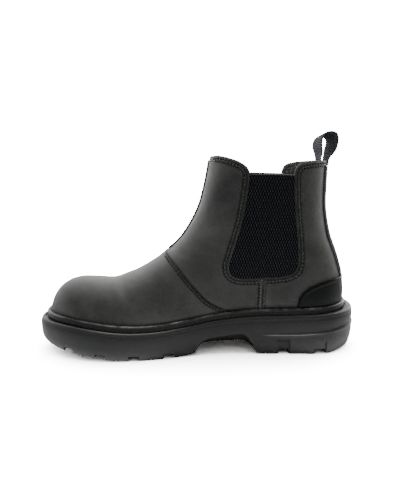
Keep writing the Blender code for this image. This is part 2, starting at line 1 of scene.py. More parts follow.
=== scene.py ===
import bpy
import numpy as np
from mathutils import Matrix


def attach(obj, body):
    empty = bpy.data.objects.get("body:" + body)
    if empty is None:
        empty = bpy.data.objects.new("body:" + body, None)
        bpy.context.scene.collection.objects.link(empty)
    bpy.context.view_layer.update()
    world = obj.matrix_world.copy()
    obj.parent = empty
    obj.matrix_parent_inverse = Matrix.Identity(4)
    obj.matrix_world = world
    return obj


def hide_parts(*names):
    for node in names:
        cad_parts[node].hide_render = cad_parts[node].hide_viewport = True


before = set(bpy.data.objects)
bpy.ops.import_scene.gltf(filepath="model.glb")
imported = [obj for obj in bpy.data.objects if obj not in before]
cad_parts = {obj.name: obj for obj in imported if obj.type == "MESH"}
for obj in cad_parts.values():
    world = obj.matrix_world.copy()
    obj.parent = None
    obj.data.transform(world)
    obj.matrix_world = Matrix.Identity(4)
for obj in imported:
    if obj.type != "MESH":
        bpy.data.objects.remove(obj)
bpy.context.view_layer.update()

# Outsole: one block of black rubber, moulded with a raised heel, an arch hollow, lugs along both
# edges and a thin bead round its top lip. The mould's halves leave a ledge round the heel.
# Sizes are millimetres: X from toe to heel, Y from the inner to the outer side, Z up.

MM = 0.001
SOLE_LENGTH = 306.0
TOE_X = -SOLE_LENGTH / 2
HEEL_X = SOLE_LENGTH / 2


def table(columns, rows):
    """Numbers as one array per named column."""
    return dict(zip(columns.split(), np.array(rows, float).T))


PLAN = table("x swing half", [
    (TOE_X, -10.1, 44),
    (-120, -7.2, 48.5),
    (-90, -3.6, 53),
    (-64, -0.1, 55.5),
    (-38, 2.4, 54),
    (-10, 4.9, 48.5),
    (20, 4.6, 43.5),
    (50, 3, 40.8),
    (82, 1.6, 39.5),
    (112, 0.9, 39.5),
    (HEEL_X, 0.4, 39.5),
])
TOE_ROUND = 74.0
TOE_POWER = 2.2
HEEL_ROUND = 42.0
HEEL_POWER = 2.1
END_REACH = 30.0
SOLE_SIDE = table("x bottom lip", [
    (TOE_X, 14.4, 32),
    (-136, 9.2, 32),
    (-118, 5.6, 31.4),
    (-96, 3.1, 29.2),
    (-76, 0.7, 26.8),
    (-58, 0, 25.6),
    (-38, 0, 25.8),
    (-12, 0, 27.9),
    (16, 0, 32.4),
    (45, 0, 35.6),
    (85, 0, 37),
    (120, 0, 38.5),
    (HEEL_X, 0, 40.6),
])
# Rows of the wall from its foot up: drawn in, height as a share, drawn in more at the heel's ledge and
# where the ends tuck under
SOLE_WALL = table("inset share ledge tuck", [
    (1.5, 0.000, 0, 5.6),
    (0.9, 0.010, 0, 5.1),
    (0.5, 0.035, 0, 4),
    (0.3, 0.060, 0, 3),
    (0.2, 0.130, 0, 1.9),
    (0.1, 0.220, 0, 1.1),
    (0.1, 0.325, 0, 0.6),
    (0.1, 0.345, 0, 0.6),
    (0.1, 0.430, 0, 0.4),
    (0.1, 0.486, 0, 0.2),
    (0.1, 0.498, -0.3, 0.2),
    (0.1, 0.510, -0.3, 0.2),
    (0.1, 0.522, 0.4, 0.2),
    (0.1, 0.532, 1, 0.2),
    (0.1, 0.550, 1, 0.2),
    (0.1, 0.660, 0.7, 0.1),
    (0.2, 0.740, 0.5, 0.1),
    (0.4, 0.820, 0.3, 0.2),
    (0.6, 0.868, 0.3, 0.2),
    (0.8, 0.884, 0.3, 0.3),
    (0.8, 0.892, 0.3, 0.3),
    (0.7, 0.908, 0.3, 0.4),
    (0.9, 0.940, 0.2, 0.5),
    (1.4, 0.975, 0.1, 0.8),
    (1.9, 0.994, 0.1, 1.2),
    (2.3, 1.000, 0, 1.5),
])
LEDGE_X = (62.0, 86.0)
LEDGE_RISE = 0.10
LEDGE_RISE_X = (90.0, 150.0)
TOE_TUCK = (80.0, 130.0)
TOE_SHARE = 0.3
HEEL_TUCK = (121.0, 152.0)
LIP_INSETS = (4.4, 2.7, 7.2)
LIP_SLOPE = 0.4
SEAT_DROP = 1.2
FOREFOOT_GROOVES_X = (-118.5, -88.7, -58.5, -27.5)
HEEL_GROOVES_X = (80.0, 114.5)
GROOVES_X = FOREFOOT_GROOVES_X + HEEL_GROOVES_X
CUTS_X = (-104.0, -74.0, -43.0, 63.5, 97.0)
CHANNELS_X = (-104.0, -74.0, -43.0, 97.0)
GROOVE_WIDTH = 9.4
GROOVE_DEPTH = 4.6
CUT_WIDTH = 2.4
CUT_DEPTH = 1.8
CHANNEL_WIDTH = 6.0
CHANNEL_DEPTH = 3.6
CHANNEL_OVERRUN = 5.0
MIDDLE_HALF = 15.0
RECESS_WIDTH = 11.6
RECESS_DEPTH = 1.5
RECESS_TOP = (12.4, 13.4)
CRISP = 0.04
ARCH = table("x z", [
    (-22, -6),
    (-20, 0),
    (-4, 3.2),
    (1, 10.4),
    (7.5, 15.4),
    (22, 17.8),
    (39, 19.8),
    (45, 17.8),
    (49, 12.6),
    (53.5, 3.6),
    (57, -6),
])
ARCH_ROOF = table("y share", [(-37.0, 1.0), (-27.0, 0.52), (31.0, 0.52), (41.0, 1.0)])


def cubic(xs, ys, at):
    """A smooth curve through points: on each span, two end values and slopes blended by cubics."""
    slope = np.gradient(ys, xs)
    i = np.clip(np.searchsorted(xs, at) - 1, 0, len(xs) - 2)
    step = xs[i + 1] - xs[i]
    u = np.clip((at - xs[i]) / step, 0, 1)
    start = (1 + 2 * u) * ys[i] + u * step * slope[i]
    end = (3 - 2 * u) * ys[i + 1] + (u - 1) * step * slope[i + 1]
    return (1 - u) ** 2 * start + u ** 2 * end


def run_length(points):
    """Length along a line of points, from its start to each of them."""
    return np.concatenate([[0], np.cumsum(np.linalg.norm(np.diff(points, axis=0), axis=1))])


def read_at(rows, length, at):
    """Rows of numbers along a line, read in proportion at other lengths."""
    return np.stack([np.interp(at, length, column) for column in rows.T], 1)


def curve_through(rows, count):
    """A table's rows joined by one smooth curve, as points at even steps of its length."""
    columns = np.stack(list(rows.values()), 1)
    knots = np.arange(len(columns), dtype=float)
    fine = np.linspace(0, knots[-1], 40 * len(knots))
    path = np.stack([cubic(knots, column, fine) for column in columns.T], 1)
    length = run_length(path[:, :2])
    return read_at(path, length, np.linspace(0, length[-1], count))


def ease(value, low, high):
    """0 below low, 1 above high, and between them three squares less two cubes of the share."""
    t = np.clip((value - low) / (high - low), 0, 1)
    return t * t * (3 - 2 * t)


def rise_and_fall(value, rise, fall):
    """0 outside two eased ends and 1 between them: the rise times what the fall leaves."""
    return ease(value, *rise) * (1 - ease(value, *fall))


def bell_at(value, middle, width):
    """1 at the middle and falling on both sides: e to minus the square of distance over width."""
    return np.exp(-((value - middle) / width) ** 2)


def roll_off(t, power):
    """A rounded edge, the quarter of a superellipse: 0 at the edge and 1 at its full depth."""
    return (1 - (1 - np.clip(t, 0, 1)) ** power) ** (1 / power)


def end_spaced(count):
    """Shares from 0 to 1 on half a cosine wave, closer together at both ends."""
    return (1 - np.cos(np.linspace(0, np.pi, count + 1))) / 2


def plan_swing(x):
    """The sole's middle line, a smooth curve through the plan's stations."""
    return cubic(PLAN["x"], PLAN["swing"], x)


def lip_height(x):
    """Height of the sole's top lip, a smooth curve through the side view's stations."""
    return cubic(SOLE_SIDE["x"], SOLE_SIDE["lip"], x)


def bottom_height(x):
    """Height of the tread: the side view's bottom curve, flat on the floor where it would sink."""
    return np.maximum(cubic(SOLE_SIDE["x"], SOLE_SIDE["bottom"], x), 0)


def seat_height(x):
    """The ledge that the upper stands on, a little under the lip."""
    return lip_height(x) - SEAT_DROP


def plan_row(stations, insets):
    """x, middle and half width of the sole's plan at its stations, drawn in by insets at the toe,
    the sides and the heel: the plan's half width times a rounded edge at each end."""
    toe, sides, heel = insets
    x = stations + toe * (1 - ease(stations, TOE_X, TOE_X + END_REACH))
    x = x - heel * ease(stations, HEEL_X - END_REACH, HEEL_X)
    half = cubic(PLAN["x"], PLAN["half"], x) - sides
    half = half * roll_off((x - TOE_X - toe) / TOE_ROUND, TOE_POWER)
    half = half * roll_off((HEEL_X - heel - x) / HEEL_ROUND, HEEL_POWER)
    return x, plan_swing(x), half


def both_sides(inner, outer):
    """Loops that run back along the inner side and forward along the outer one, ends shared."""
    return np.concatenate([inner, outer[:, -2:0:-1]], 1)


def within(x, centres, width):
    """Whether x is less than half a width from any of the centres."""
    return (np.abs(x[..., None] - np.array(centres)) < width / 2).any(-1)


ARCH_EDGE = curve_through(ARCH, 80)


def tread_height(x, y):
    """Height of the tread's surface. Grooves and narrow cuts rise from the bottom line outside the
    middle block, channels inside it, and the arch rises over all, lower towards the middle."""
    across = np.abs(y - plan_swing(x))
    outside = across > MIDDLE_HALF
    groove = GROOVE_DEPTH * (outside & within(x, GROOVES_X, GROOVE_WIDTH))
    cut = CUT_DEPTH * (outside & within(x, CUTS_X, CUT_WIDTH))
    channel = CHANNEL_DEPTH * (across < MIDDLE_HALF + CHANNEL_OVERRUN)
    channel = channel * within(x, CHANNELS_X, CHANNEL_WIDTH)
    lugs = bottom_height(x) + np.maximum(np.maximum(groove, cut), channel)
    arch = np.interp(x, ARCH_EDGE[:, 0], ARCH_EDGE[:, 1], left=0, right=0)
    return np.maximum(lugs, arch * np.interp(y, ARCH_ROOF["y"], ARCH_ROOF["share"]))


def loop_faces(rows, columns):
    """Quads that join each closed loop of a stack to the next one."""
    r, c = np.meshgrid(np.arange(rows - 1), np.arange(columns), indexing="ij")
    after = (c + 1) % columns
    corners = [r * columns + c, r * columns + after, (r + 1) * columns + after, (r + 1) * columns + c]
    return np.stack(corners, -1).reshape(-1, 4)


def grid_faces(rows, columns):
    """Quads of an open grid of points, row by row."""
    r, c = np.meshgrid(np.arange(rows - 1), np.arange(columns - 1), indexing="ij")
    first = r * columns + c
    return np.stack([first, first + 1, first + columns + 1, first + columns], -1).reshape(-1, 4)


def add_piece(name, points, faces, finish, sharp=35.0, corners=()):
    """A mesh object from points in millimetres, the point numbers of its four-sided faces, and
    those of any three-sided ones at its corners."""
    mesh = bpy.data.meshes.new(name)
    places = np.asarray(points).reshape(-1, 3) * MM
    mesh.from_pydata(places.tolist(), [], np.asarray(faces).tolist() + [list(row) for row in corners])
    mesh.shade_smooth()
    mesh.set_sharp_from_angle(angle=np.radians(sharp))
    mesh.materials.append(finish)
    made = bpy.data.objects.new(name, mesh)
    bpy.context.scene.collection.objects.link(made)
    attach(made, "root")
    return made


def fill(made, inputs):
    """Inputs of a shader node, each set to a value or joined to another node's result."""
    for socket, value in dict(inputs).items():
        if isinstance(value, bpy.types.NodeSocket):
            made.id_data.links.new(value, made.inputs[socket])
        else:
            made.inputs[socket].default_value = value


def new_material(name, **constants):
    """A material, and its shader with these constants set."""
    made = bpy.data.materials.new(name)
    made.use_nodes = True
    shader = made.node_tree.nodes["Principled BSDF"]
    fill(shader, {socket.replace("_", " "): value for socket, value in constants.items()})
    return made, shader


def node(beside, kind, inputs=(), **settings):
    """A shader node in the tree of another node or socket, with its settings made and inputs filled."""
    made = beside.id_data.nodes.new(kind)
    for name, value in settings.items():
        setattr(made, name, value)
    fill(made, inputs)
    return made


def calc(operation, *values):
    """The result of one sum on values and sockets."""
    beside = next(value for value in values if isinstance(value, bpy.types.NodeSocket))
    return node(beside, "ShaderNodeMath", enumerate(values), operation=operation).outputs[0]


def noise(vector, scale, detail=2.0, roughness=0.5, distortion=0.0):
    """Smooth noise from 0 to 1 at a scale per metre."""
    inputs = {"Vector": vector, "Scale": scale, "Detail": detail, "Roughness": roughness,
              "Distortion": distortion}
    return node(vector, "ShaderNodeTexNoise", inputs).outputs["Fac"]


def place(shader):
    """A point's own place on the object, in metres."""
    return node(shader, "ShaderNodeTexCoord").outputs["Object"]


def blend_colour(share, low, high):
    """A colour between two, by a share from 0 to 1; the first one may come from another node."""
    low = low if isinstance(low, bpy.types.NodeSocket) else (*low, 1.0)
    return node(share, "ShaderNodeMix", {0: share, 6: low, 7: (*high, 1.0)}, data_type="RGBA").outputs[2]


def paint(shader, share, low, high):
    """The shader's colour, blended between two."""
    fill(shader, {"Base Color": blend_colour(share, low, high)})


def value_of(shader, name):
    """A per-point value of the piece."""
    return node(shader, "ShaderNodeAttribute", attribute_name=name).outputs["Fac"]


def add_values(made, **columns):
    """Per-point values for the material, in millimetres or as shares."""
    for name, values in columns.items():
        made.data.attributes.new(name, "FLOAT", "POINT").data.foreach_set("value", values.ravel())


def spread(value, low, high, to_low=0.0, to_high=1.0):
    """A value moved in proportion from one range to another, and held inside it."""
    inputs = {"Value": value, "From Min": low, "From Max": high, "To Min": to_low, "To Max": to_high}
    return node(value, "ShaderNodeMapRange", inputs).outputs[0]


def raise_surface(shader, height, distance):
    """A bump from heights of 0 to 1 over a distance in metres."""
    bump = node(shader, "ShaderNodeBump", {"Height": height, "Distance": distance, "Strength": 1.0})
    fill(shader, {"Normal": bump.outputs["Normal"]})


rubber, shader = new_material("moulded_rubber", Specular_IOR_Level=0.42)
cloud = noise(place(shader), 45.0, 3.0)
plain = blend_colour(cloud, (0.019, 0.020, 0.0205), (0.030, 0.031, 0.0315))
# Painted light from the floor: paler towards the foot of the wall
dusted = blend_colour(value_of(shader, "dust"), plain, (0.075, 0.077, 0.076))
# Painted highlight: the beads of the lip and of the ledge are painted pale
paint(shader, value_of(shader, "rubbed"), dusted, (0.36, 0.36, 0.34))
fill(shader, {"Roughness": spread(cloud, 0.3, 0.7, 0.40, 0.54)})
raise_surface(shader, noise(place(shader), 1900.0), 0.00012)


def wall_height(x, share):
    """Height at a share of the wall from its foot to the lip. Round the back of the heel the middle of
    the wall, with its ledge, is carried up: four times the share times what is left of it."""
    share = share + LEDGE_RISE * ease(x, *LEDGE_RISE_X) * 4 * share * (1 - share)
    return bottom_height(x) * (1 - share) + lip_height(x) * share


edges = np.concatenate([
    np.add.outer(centres, (-width / 2, width / 2)).ravel()
    for centres, width in (
        (GROOVES_X, GROOVE_WIDTH), (CUTS_X, CUT_WIDTH), (CHANNELS_X, CHANNEL_WIDTH),
        (HEEL_GROOVES_X, RECESS_WIDTH),
    )
])
even_stations = TOE_X + end_spaced(150) * SOLE_LENGTH
stations = np.unique(np.concatenate([even_stations, edges - CRISP, edges + CRISP]))
at_heel = ease(stations, *LEDGE_X)
at_ends = TOE_SHARE * ease(-stations, *TOE_TUCK) + ease(stations, *HEEL_TUCK)
in_recess = within(stations, HEEL_GROOVES_X, RECESS_WIDTH)
inner_rows = []
outer_rows = []
for inset, share, ledge, tuck in zip(*SOLE_WALL.values()):
    recess = RECESS_DEPTH * in_recess * (1 - ease(wall_height(stations, share), *RECESS_TOP))
    sides = inset + ledge * at_heel + tuck * at_ends + recess
    x, middle, half = plan_row(stations, (inset + TOE_SHARE * tuck, sides, inset + ledge + tuck))
    z = wall_height(x, share)
    for rows, y in ((inner_rows, middle - half), (outer_rows, middle + half)):
        rows.append(np.stack([x, y, np.maximum(z, tread_height(x, y))], 1))
for insets, height in ((LIP_INSETS, lip_height), ([i + LIP_SLOPE for i in LIP_INSETS], seat_height)):
    x, middle, half = plan_row(stations, insets)
    inner_rows.append(np.stack([x, middle - half, height(x)], 1))
    outer_rows.append(np.stack([x, middle + half, height(x)], 1))
wall = both_sides(np.array(inner_rows), np.array(outer_rows))

# The tread spans the wall's lowest row in three strips, with a crisp step at the middle block
low_inner = inner_rows[0]
low_outer = outer_rows[0]
low_half = (low_outer[:, 1] - low_inner[:, 1]) / 2
edge_share = np.minimum(MIDDLE_HALF / np.maximum(low_half, 1.0), 0.75)[:, None]
crisp_share = CRISP / MIDDLE_HALF
outer_strip = np.linspace(edge_share * (1 + crisp_share), np.ones_like(edge_share), 9, axis=1)[..., 0]
middle_strip = np.linspace(-1, 1, 9) * edge_share * (1 - crisp_share)
across = np.concatenate([-outer_strip[:, ::-1], middle_strip, outer_strip], 1)
tread_x = np.repeat(low_inner[:, :1], across.shape[1], 1)
tread_y = (low_inner[:, 1:2] + low_outer[:, 1:2]) / 2 + low_half[:, None] * across
tread = np.stack([tread_x, tread_y, tread_height(tread_x, tread_y)], -1)
top_inner = inner_rows[-1]
top_outer = outer_rows[-1]
top = np.stack([top_inner, top_outer], 1)[:, ::-1]
parts = [(wall, loop_faces(*wall.shape[:2])), (tread, grid_faces(*tread.shape[:2])),
         (top, grid_faces(*top.shape[:2]))]
starts = np.cumsum([0] + [points.shape[0] * points.shape[1] for points, _ in parts])
outsole = add_piece(
    "outsole_rubber",
    np.concatenate([points.reshape(-1, 3) for points, _ in parts]),
    np.concatenate([faces + start for (_, faces), start in zip(parts, starts)]),
    rubber,
)
# The lip's bead carries a painted highlight beside the ball of the foot and a little at the heel, and
# the ledge's bead one at the front of the heel. The foot of the wall is painted paler with light from the
# floor
LIP_BEAD = (0.990, 0.013)
BEAD_HIGHLIGHT = 0.12
BEAD_HIGHLIGHT_BALL = 0.88
BEAD_HIGHLIGHT_HEEL = 0.2
BALL_X = ((-112.0, -80.0), (-38.0, 0.0))
HEEL_BACK_X = (90.0, 120.0)
LEDGE_BEAD = (0.508, 0.012)
LEDGE_HIGHLIGHT = 0.8
HEEL_FRONT_X = ((58.0, 72.0), (100.0, 122.0))
FLOOR_LIGHT = 0.7
FLOOR_LIGHT_TOP = 0.38
FLOOR_LIGHT_FADE = 1.4
OFF_WALL = 9.0
wall_x = wall[..., 0]
wall_share = np.append(SOLE_WALL["share"], [OFF_WALL, OFF_WALL])[:, None]
# Painted highlight along the beads, strongest beside the ball of the foot
by_ball = BEAD_HIGHLIGHT + BEAD_HIGHLIGHT_BALL * rise_and_fall(wall_x, *BALL_X) + BEAD_HIGHLIGHT_HEEL * ease(wall_x, *HEEL_BACK_X)
rubbed = by_ball * bell_at(wall_share, *LIP_BEAD)
rubbed += LEDGE_HIGHLIGHT * rise_and_fall(wall_x, *HEEL_FRONT_X) * bell_at(wall_share, *LEDGE_BEAD)
# Painted floor light, strongest at the foot of the wall and gone above a share of its height
dust = np.broadcast_to(FLOOR_LIGHT * np.clip(1 - wall_share / FLOOR_LIGHT_TOP, 0, 1) ** FLOOR_LIGHT_FADE, rubbed.shape)
bare = np.zeros(starts[-1] - rubbed.size)
add_values(outsole, rubbed=np.concatenate([rubbed.ravel(), bare]), dust=np.concatenate([dust.ravel(), bare]))
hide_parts("outsole")

# Insole: a flat bed of dark woven cloth on thin foam, cut to the inside of the boot and laid on the
# sole. Only its top shows, down through the collar.


def cells(vector, scale):
    """Distance from the nearest of many scattered points, at a scale per metre."""
    return node(vector, "ShaderNodeTexVoronoi", {"Vector": vector, "Scale": scale}).outputs["Distance"]


insole_cloth, shader = new_material("insole_cloth", Roughness=0.92)
weave = cells(place(shader), 900.0)
paint(shader, spread(weave, 0.1, 0.7), (0.07, 0.07, 0.072), (0.02, 0.02, 0.021))
raise_surface(shader, weave, 0.0004)
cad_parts["insole"].data.materials.clear()
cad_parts["insole"].data.materials.append(insole_cloth)

# Upper: charcoal waxed leather about 2.4 mm thick, lasted over the foot and sewn into a shaft. Its
# collar edge is left raw and stitched, and a speckled knit lines its inside.

WALL = 2.4
SEAT_GAP = 0.6
UPPER_INSET = 9.4
TOE_INSET = 2.0
TOE_INSET_FROM = (85.0, 125.0)
UPPER_BULGE = 3.2
BULGE_HEIGHT = 18.0
SHAFT_HALF = 37.5
FRONT_LINE = table("x z roll", [
    (-143, 31.2, 40),
    (-142.6, 39.5, 40),
    (-137.2, 52.8, 40),
    (-127.6, 63, 40),
    (-113, 67.5, 40),
    (-86, 66, 42),
    (-64, 71.8, 46),
    (-44, 83, 50),
    (-32, 92, 52),
    (-15.5, 107.4, 54),
    (-1.2, 131.4, 55),
    (6, 155.1, 55),
    (11.4, 184, 55),
])
BACK_LINE = table("x z roll", [
    (139.8, 38.4, 38),
    (140.6, 46, 38),
    (140.2, 56, 39),
    (137.6, 73, 42),
    (131.8, 92, 48),
    (124.4, 111.8, 54),
    (120.6, 134, 57),
    (120.2, 156, 57),
    (120.6, 179.6, 57),
])
ROLL_POWER = 2.15
TOE_TAPER = 84.0
TOE_TAPER_X = -163.0
FOOT_TOP = 60.0
SHAFT_BOTTOM = 132.0
RIDGE_LEAN = 5.0
LEAN_RISE = (38.0, 80.0)
LEAN_FALL = (95.0, 150.0)
NEAREST_SOFTNESS = 6.0
RING_CROWDING = 1.35
BACK_PACE = 0.35
BACK_DELAY = 2.2
SEAT_REACH = 0.3
RING_SAG = 13.0
SAG_RISE = (0.03, 0.22)
SAG_FALL = (0.5, 0.85)
SAG_FORWARD = 0.6
RINGS = 150
SIDE_COLUMNS = 128
SLIVER = 0.12
TRIM_STEP = 0.52
LEAST_LENGTH = 1e-6
LEAST_RISE = 1e-4
INSIDE = 1
OUTSIDE = -1
GUSSET_CUT = table("x z", [
    (45.4, 166.8),
    (44.9, 157.5),
    (43, 144.4),
    (39.7, 126.7),
    (34.6, 108.7),
    (29.6, 92.2),
    (27.8, 84.2),
    (30, 76.6),
    (36.8, 73),
    (48, 72.6),
    (61, 73.4),
    (76, 74.6),
    (85.6, 77.4),
    (90, 84),
    (90.4, 95),
    (89.3, 108.7),
    (87.1, 131),
    (85.6, 153),
    (85, 165.8),
])
COLLAR_FRONT = table("x z", [
    (4, 182),
    (10.5, 182.7),
    (17, 183.3),
    (22, 182.6),
    (27, 181.2),
    (35.5, 178.2),
    (42, 173.8),
    (45.2, 169.2),
])
COLLAR_BACK = table("x z", [
    (85.4, 168.8),
    (87.4, 173.4),
    (91.6, 176.2),
    (99, 177.8),
    (109, 178.7),
    (118, 179.1),
    (126, 179.2),
])
ABOVE = 200.0
VAMP_SEAM = table("x z", [
    (36, 35),
    (23.5, 41.8),
    (14.4, 46.6),
    (6.6, 52.4),
    (-4.7, 65.4),
    (-19, 82.6),
    (-31.6, 94.2),
    (-48, 106),
])
SEAM_X = 61.9
SEAM_TOP = 72.4
SEAM_BOTTOM = 36.0
# Soft troughs and ridges: where, how long and wide, which way they run, and how high they stand
FOLDS = table("side x z length width turn lift", [
    (-1, -77, 59, 17, 7, -40, -1.3),
    (-1, -62, 55, 18, 8, -42, 0.8),
    (-1, -20, 95.5, 12, 1.8, -20, -0.45),
    (-1, -9, 93, 13, 2, -16, -0.4),
    (-1, 4, 100, 17, 4, -24, -0.5),
    (-1, 6, 90, 16, 4, -14, 0.4),
    (-1, 106, 108, 14, 7, 20, -0.6),
    (-1, 18, 140, 20, 9, 60, -0.5),
    (1, -76, 60, 17, 7, -36, -1.2),
    (1, -60, 56, 18, 8, -40, 0.7),
    (1, -16, 96, 14, 2, -18, -0.45),
    (1, -2, 91, 15, 2.4, -12, -0.4),
    (1, 8, 101, 16, 5, -26, -0.5),
    (1, 104, 112, 15, 8, 15, -0.6),
    (1, 20, 136, 22, 9, 58, -0.5),
])

for side_line in (FRONT_LINE, BACK_LINE):
    side_line["z"][0] = seat_height(side_line["x"][0]) + SEAT_GAP
vamp_edge = curve_through(VAMP_SEAM, 70)
seam_edge = np.array([(SEAM_X, SEAM_BOTTOM), (SEAM_X, SEAM_TOP)])
FRONT = curve_through(FRONT_LINE, 160)
BACK = curve_through(BACK_LINE, 90)


def segment_reach(start, run, x, z):
    """From side-view points to each of a line's segments: the distance, the segment's nearest point,
    and how far along the segment that is, as a share."""
    point = np.stack([x, z], -1)[..., None, :]
    share = np.clip(((point - start) * run).sum(-1) / (run ** 2).sum(-1), 0, 1)
    foot = start + share[..., None] * run
    return np.linalg.norm(point - foot, axis=-1), foot, share


def depth_behind(line, x, z):
    """Distance from the points (x, z) to a side-view line, and the roll where it is nearest."""
    distance, _, _ = segment_reach(line[:-1, :2], np.diff(line[:, :2], axis=0), x, z)
    nearest = distance.min(-1)
    weight = np.exp((nearest[..., None] - distance) / NEAREST_SOFTNESS)
    return nearest, (weight * line[:-1, 2]).sum(-1) / weight.sum(-1)


def upper_half_width(x, z):
    """Half the boot's width at a point of its side view: the foot's plan below blends into the
    shaft's width above, times a rounded edge at the front line and one at the back line."""
    rise = np.clip((z - seat_height(x)) / BULGE_HEIGHT, 0, 1)
    inset = UPPER_INSET + TOE_INSET * ease(-x, *TOE_INSET_FROM)
    plan = cubic(PLAN["x"], PLAN["half"], x) - inset + UPPER_BULGE * np.sin(rise * np.pi / 2)
    foot = plan * roll_off((x - TOE_TAPER_X) / TOE_TAPER, ROLL_POWER)
    base = foot + (SHAFT_HALF - foot) * ease(z, FOOT_TOP, SHAFT_BOTTOM)
    front_depth, front_roll = depth_behind(FRONT, x, z)
    back_depth, back_roll = depth_behind(BACK, x, z)
    base = base * roll_off(front_depth / front_roll, ROLL_POWER)
    return base * roll_off(back_depth / back_roll, ROLL_POWER)


def upper_centre(x, z):
    """The upper's middle line: the sole's swing below, a lean inward over the instep, then zero."""
    foot = plan_swing(x) * (1 - ease(z, FOOT_TOP, SHAFT_BOTTOM))
    return foot - RIDGE_LEAN * rise_and_fall(z, LEAN_RISE, LEAN_FALL)


def side_view_loops(rings, columns):
    """Side-view x and z of the upper's loops. Each lies on a chord from the front line to the back
    line; the lowest follow the sole's seat, and those over the foot sag so that they fan out."""
    shares = np.linspace(0, 1, rings)[:, None] ** RING_CROWDING
    along = end_spaced(columns)[None, :]
    back_shares = BACK_PACE * shares + (1 - BACK_PACE) * shares ** BACK_DELAY
    front = [np.interp(shares, np.linspace(0, 1, len(FRONT)), FRONT[:, k]) for k in (0, 1)]
    back = [np.interp(back_shares, np.linspace(0, 1, len(BACK)), BACK[:, k]) for k in (0, 1)]
    x = front[0] + along * (back[0] - front[0])
    z = front[1] + along * (back[1] - front[1])
    lowest_chord = np.interp(x, (FRONT[0, 0], BACK[0, 0]), (FRONT[0, 1], BACK[0, 1]))
    near_sole = np.clip(1 - shares / SEAT_REACH, 0, 1) ** 2
    z = z + near_sole * (seat_height(x) + SEAT_GAP - lowest_chord)
    over_foot = rise_and_fall(shares, SAG_RISE, SAG_FALL)
    return x, z - RING_SAG * over_foot * np.sin(np.pi * along ** SAG_FORWARD)


def skin_loops(x, z):
    """Points of the upper's outer face over a side-view grid: middle less and plus half width."""
    half = upper_half_width(x, z)
    half[:, [0, -1]] = 0
    middle = upper_centre(x, z)
    return both_sides(np.stack([x, middle - half, z], -1), np.stack([x, middle + half, z], -1))


def unit(vectors):
    """The same directions, each one long."""
    return vectors / np.linalg.norm(vectors, axis=-1, keepdims=True)


def loop_normals(points):
    """Outward directions on a stack of loops, across the slopes along and up the stack."""
    around = np.roll(points, -1, 1) - np.roll(points, 1, 1)
    return unit(np.cross(around, np.gradient(points, axis=0)))


def bells(rows, x, z):
    """The bell of every row at the points: of the distances along and across its own direction, by
    its length and its width."""
    shapes = zip(*(rows[name] for name in ("x", "z", "length", "width", "turn")))
    for at_x, at_z, length, width, turn in shapes:
        cos, sin = np.cos(np.radians(turn)), np.sin(np.radians(turn))
        along = (x - at_x) * cos + (z - at_z) * sin
        aside = (z - at_z) * cos - (x - at_x) * sin
        yield np.exp(-(along / length) ** 2 - (aside / width) ** 2)


def folds(x, z, side):
    """Sum of soft troughs and ridges, each its lift times its bell on its own side."""
    rows = zip(bells(FOLDS, x, z), FOLDS["side"], FOLDS["lift"])
    return sum(lift * bell_of * (side == row_side) for bell_of, row_side, lift in rows)


def outline_reach(outline, x, z):
    """Signed distance to a closed side-view outline, positive inside, and its nearest points. A
    point is inside where a line from it crosses the outline an odd number of times."""
    run = np.roll(outline, -1, 0) - outline
    gap, near, _ = segment_reach(outline, run, x, z)
    nearest = np.take_along_axis(near, gap.argmin(-1)[..., None, None], -2)[..., 0, :]
    below = outline[:, 1] <= z[..., None]
    crossing = below != np.roll(below, -1, -1)
    level = np.where(run[:, 1] == 0, 1.0, run[:, 1])
    cross_x = outline[:, 0] + (z[..., None] - outline[:, 1]) / level * run[:, 0]
    inside = (crossing & (cross_x > x[..., None])).sum(-1) % 2 == 1
    return gap.min(-1) * np.where(inside, 1, -1), nearest


def trim_loops(x, z, outline, keep):
    """A side-view grid trimmed at an outline: points about half a step from it or less move onto it
    along the grid's own lines. Also gives which points stay."""
    distance, nearest = outline_reach(outline, x, z)
    distance = keep * distance
    point = np.stack([x, z], -1)
    away = (point - nearest) / np.maximum(np.abs(distance), LEAST_LENGTH)[..., None]
    away = away * np.sign(distance)[..., None]
    up, along = np.gradient(point, axis=(0, 1))
    rise_up, rise_along = [(away * step).sum(-1) for step in (up, along)]
    use_up = np.abs(rise_up) >= np.abs(rise_along)
    use_up[:, [0, -1]] = True
    rise = np.where(use_up, rise_up, rise_along)
    steps = -distance / np.where(np.abs(rise) < LEAST_RISE, LEAST_RISE, rise)
    beside = np.abs(steps) <= TRIM_STEP
    moved = point + np.where(use_up[..., None], up, along) * np.where(beside, steps, 0)[..., None]
    return moved[..., 0], moved[..., 1], beside | (distance > 0)


def path_reach(path, x, z):
    """Distance from side-view points to an open path, and how far along the path it is nearest."""
    length = run_length(path)
    gap, _, share = segment_reach(path[:-1], np.diff(path, axis=0), x, z)
    along = length[:-1] + share * np.diff(length)
    return gap.min(-1), np.take_along_axis(along, gap.argmin(-1)[..., None], -1)[..., 0]


def face_areas(points, faces):
    """Half the length of the cross product of each face's two diagonals, or of a triangle's sides."""
    corner = points[faces]
    across = np.cross(corner[:, 2] - corner[:, 0], corner[:, -1] - corner[:, 1])
    return np.linalg.norm(across, axis=1) / 2


def add_wall(made, thickness):
    """A wall inward from the piece's face."""
    solid = made.modifiers.new("wall", "SOLIDIFY")
    solid.thickness = thickness * MM
    solid.offset = -1.0


